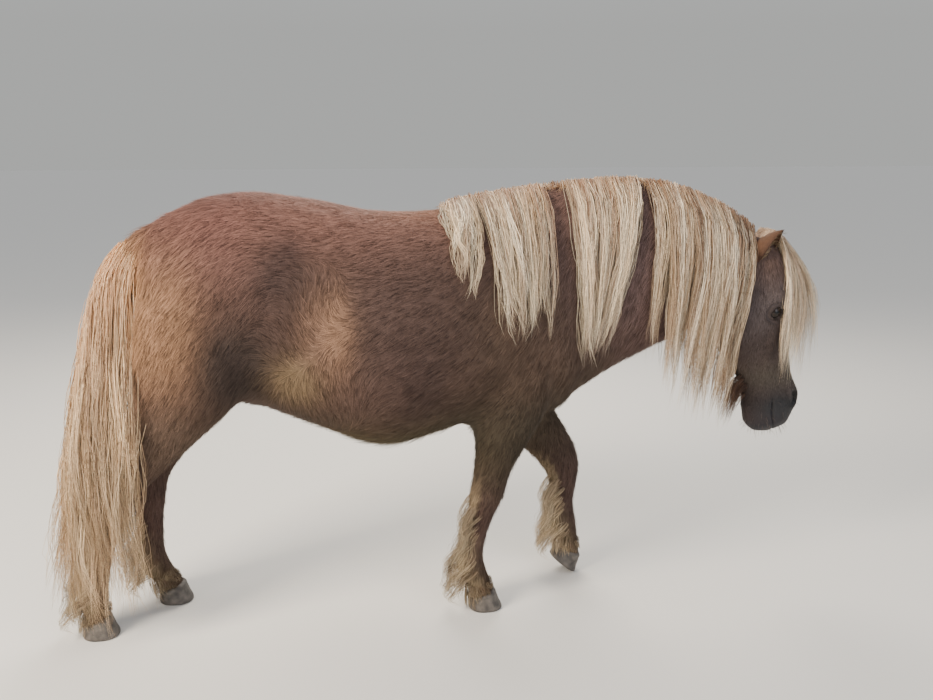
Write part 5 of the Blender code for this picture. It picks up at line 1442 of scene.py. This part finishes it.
def hair_material(name, roughness, streak, shine):
    """Hair: each strand has its own colour, darkened and lit in bands along it; a soft gloss."""
    made, tree, shader = new_material(name)
    place = add(tree, "TexCoord", "Object")
    own = add(tree, "Attribute", "Color", {"attribute_name": "hair_colour"})
    fine = add(tree, "TexNoise", "Fac", {"Scale": streak, "Detail": 2.0}, Vector=place)
    finish = {"Roughness": roughness, "Specular IOR Level": shine, "IOR": 1.55}
    fill(shader, finish, Base_Color=varied(tree, own, fine, 0.86))
    return made


def hoof_horn():
    """Hoof horn: grey keratin with growth rings 3 to 4 mm apart, dusty and scuffed, satin."""
    made, tree, shader = new_material("grey hoof horn")
    place = add(tree, "TexCoord", "Object")
    level = add(tree, "Attribute", "Fac", {"attribute_name": "height_on_wall"})
    patches = add(tree, "TexNoise", "Fac", {"Scale": 60.0, "Detail": 6.0}, Vector=place)
    wobble = add(tree, "Math", 0, {"operation": "MULTIPLY", 1: 0.18}, i0=patches)
    height = add(tree, "Math", 0, {"operation": "ADD"}, i0=level, i1=wobble)
    turns = add(tree, "Math", 0, {"operation": "MULTIPLY", 1: 78.0}, i0=height)
    rings = add(tree, "Math", 0, {"operation": "SINE"}, i0=turns)
    tint = add(tree, "ValToRGB", "Color", {"stops": ((0.30, "#3a3633"), (0.72, "#6c655e"))}, Fac=patches)
    bump = add(tree, "Bump", "Normal", {"Strength": 0.35, "Distance": 0.0006}, Height=rings)
    grit = add(tree, "TexNoise", "Fac", {"Scale": 900.0, "Detail": 3.0}, Vector=place)
    bump = add(tree, "Bump", "Normal", {"Strength": 0.3, "Distance": 0.0004}, Height=grit, Normal=bump)
    fill(shader, {"Roughness": 0.62}, Base_Color=tint, Normal=bump)
    return made


def brown_eye():
    """Dark brown iris with a long black pupil under a wet cornea."""
    made, tree, shader = new_material("dark brown eye")
    place = add(tree, "TexCoord", "Object")
    turned_place = {"Rotation": (0, LID_TILT, 0), "Scale": (0.55, 0.0, 1.0)}
    pupil = add(tree, "Mapping", "Vector", turned_place, Vector=place)
    off = add(tree, "VectorMath", "Value", {"operation": "LENGTH"}, i0=pupil)
    away = add(tree, "Math", 0, {"operation": "MULTIPLY", 1: 60.0}, i0=off)
    stops = ((0.20, "#050404"), (0.30, "#20140e"), (0.75, "#140d0a"))
    iris = add(tree, "ValToRGB", "Color", {"stops": stops}, Fac=away)
    wet = {"Roughness": 0.22, "IOR": 1.376, "Specular IOR Level": 0.35}
    wet.update({"Coat Weight": 0.25, "Coat Roughness": 0.06})
    fill(shader, wet, Base_Color=iris)
    return made


def studio_floor():
    """Pale matt floor."""
    made, _, shader = new_material("pale floor")
    fill(shader, {"Base Color": (*colour("#d9d7d2"), 1), "Roughness": 0.9})
    return made


# The pony


def short_coat(skin, material):
    """Flat tufts all over the skin, in pieces, and longer shaggy ones where the coat breaks its outline."""
    place = points_of(skin)
    values = coat_values(place)
    density = (1 - bareness(place)) * (place[:, 2] >= 0.03) / (values[:, 1] * values[:, 2])
    for number in range(TUFT_PIECES):
        fur(f"coat_{number + 1}", skin, TUFTS_IN_PIECE, density, 100 + number, material)
    shag = density * (0.15 + (values[:, 1] > 0.026) + 1.2 * (place[:, 2] < 0.42))
    fur("coat_shag", skin, SHAG_COUNT, shag, 200, material, **SHAGGY, steps=3, longer=1.35, rise=1.6)


def all_long_hair(surface):
    flaxen = hair_material("flaxen mane hair", 0.48, 350.0, 0.30)
    tail_look = hair_material("flaxen tail hair", 0.48, 350.0, 0.30)
    feather_look = hair_material("tan feather hair", 0.60, 350.0, 0.20)
    places = [(bundle, i) for bundle in MANE for i in range(bundle.count)]
    mane = guides_of(mane_guide, places, 0, surface)
    near = sum(bundle.side == RIGHT for bundle, _ in places)
    half = near // 2
    long_hair("mane_back", [part[:half] for part in mane], MANE_BACK, flaxen)
    long_hair("mane_front", [part[half:near] for part in mane], MANE_FRONT, flaxen)
    long_hair("mane_off", [part[near:] for part in mane], MANE_OFF, flaxen)
    long_hair("mane_crest", guides_of(crest_guide, range(CREST_COUNT), 6, surface), CREST, flaxen)
    long_hair("forelock", guides_of(forelock_guide, range(LOCK_COUNT), 1, surface), FORELOCK, flaxen)
    hanging = guides_of(tail_guide, range(TAIL_COUNT), 3, surface)
    tail = long_hair("tail_hair", hanging, TAIL, tail_look, "hair")
    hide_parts("tail")
    for name, sections in LEGS.items():
        rows = {s.name: s for s in sections}
        feather = guides_of(feather_guide, range(FEATHER_COUNT), 4, rows)
        long_hair("feather_" + name, feather, FEATHER, feather_look, tone=LEG_LIGHT_AND_SHADE[name])
        fringe = guides_of(fringe_guide, range(FRINGE_COUNT), 5, rows)
        long_hair("fringe_" + name, fringe, FRINGE, feather_look, tone=LEG_LIGHT_AND_SHADE[name])
    long_hair("beard", guides_of(beard_guide, range(BEARD_COUNT), 2), BEARD, feather_look)


def build_pony():
    skin_look = winter_coat_skin()
    coat_look = hair_material("chestnut winter hair", 0.72, 500.0, 0.12)
    horn, eye_look = hoof_horn(), brown_eye()
    skin = flesh_surface()
    surface = Surface(skin)
    shape_skin(skin)
    keep(skin, "coat_and_painted_light", coat_colours_and_painted_light(points_of(skin)))
    keep(skin, "bare", bareness(points_of(skin)))
    skin.data.shade_smooth()
    short_coat(skin, coat_look)
    all_long_hair(surface)
    whiskers(skin, coat_look)
    for side in (RIGHT, LEFT):
        eyeball(side, eye_look)
        lids(side, surface, skin_look, coat_look)
        ear(side, skin_look, coat_look)
    for name, (toe_x, y, tip) in HOOVES.items():
        hoof(name, toe_x, y, tip, horn)
    move_points(skin, points_of(skin) + TO_FRAME)
    dress(skin, skin_look, "coat", "torso", "neck", "head", *LEGS)


# Floor, light and camera


def build_floor():
    half = FLOOR_SIZE / 2
    corners = [(-half, -half, 0), (half, -half, 0), (half, half, 0), (-half, half, 0)]
    floor = mesh_object("floor", corners, [(0, 1, 2, 3)])
    floor.data.materials.append(studio_floor())


def area_light(name, place, size, power, tint):
    light = bpy.data.lights.new(name, "AREA")
    light.size = size
    light.energy = power
    light.color = tuple(colour(tint))
    obj = new_object(name, light)
    obj.location = place
    obj.rotation_euler = (Vector((0, 0, 0.6)) - Vector(place)).to_track_quat("-Z", "Y").to_euler()


def build_light():
    """A pale studio, brighter overhead, with a warm key from behind the pony and softer light round it."""
    world = bpy.data.worlds.new("studio")
    bpy.context.scene.world = world
    world.use_nodes = True
    tree = world.node_tree
    up = add(tree, "SeparateXYZ", "Z", Vector=add(tree, "TexCoord", "Generated"))
    sky = add(tree, "ValToRGB", "Color", {"stops": ((0.10, "#cbccca"), (0.45, "#f2f5fa"))}, Fac=up)
    fill(tree.nodes["Background"], {"Strength": 0.78}, Color=sky)
    area_light("key", (-3.0, -1.9, 2.6), 1.5, 300, "#fff0dc")
    area_light("fill", (1.4, -3.2, 2.0), 2.5, 52, "#f1f5ff")
    area_light("back", (0.3, 2.3, 2.8), 1.8, 120, "#fff4e4")


def build_camera():
    camera = bpy.data.cameras.new("camera")
    camera.sensor_width = 36
    camera.lens = CAMERA_LENS
    obj = new_object("camera", camera)
    obj.location = Vector(CAMERA_PLACE) + Vector(TO_FRAME)
    obj.rotation_euler = (math.pi / 2 + CAMERA_PITCH, 0, CAMERA_TURN)
    bpy.context.scene.camera = obj


build_pony()
build_floor()
build_light()
build_camera()
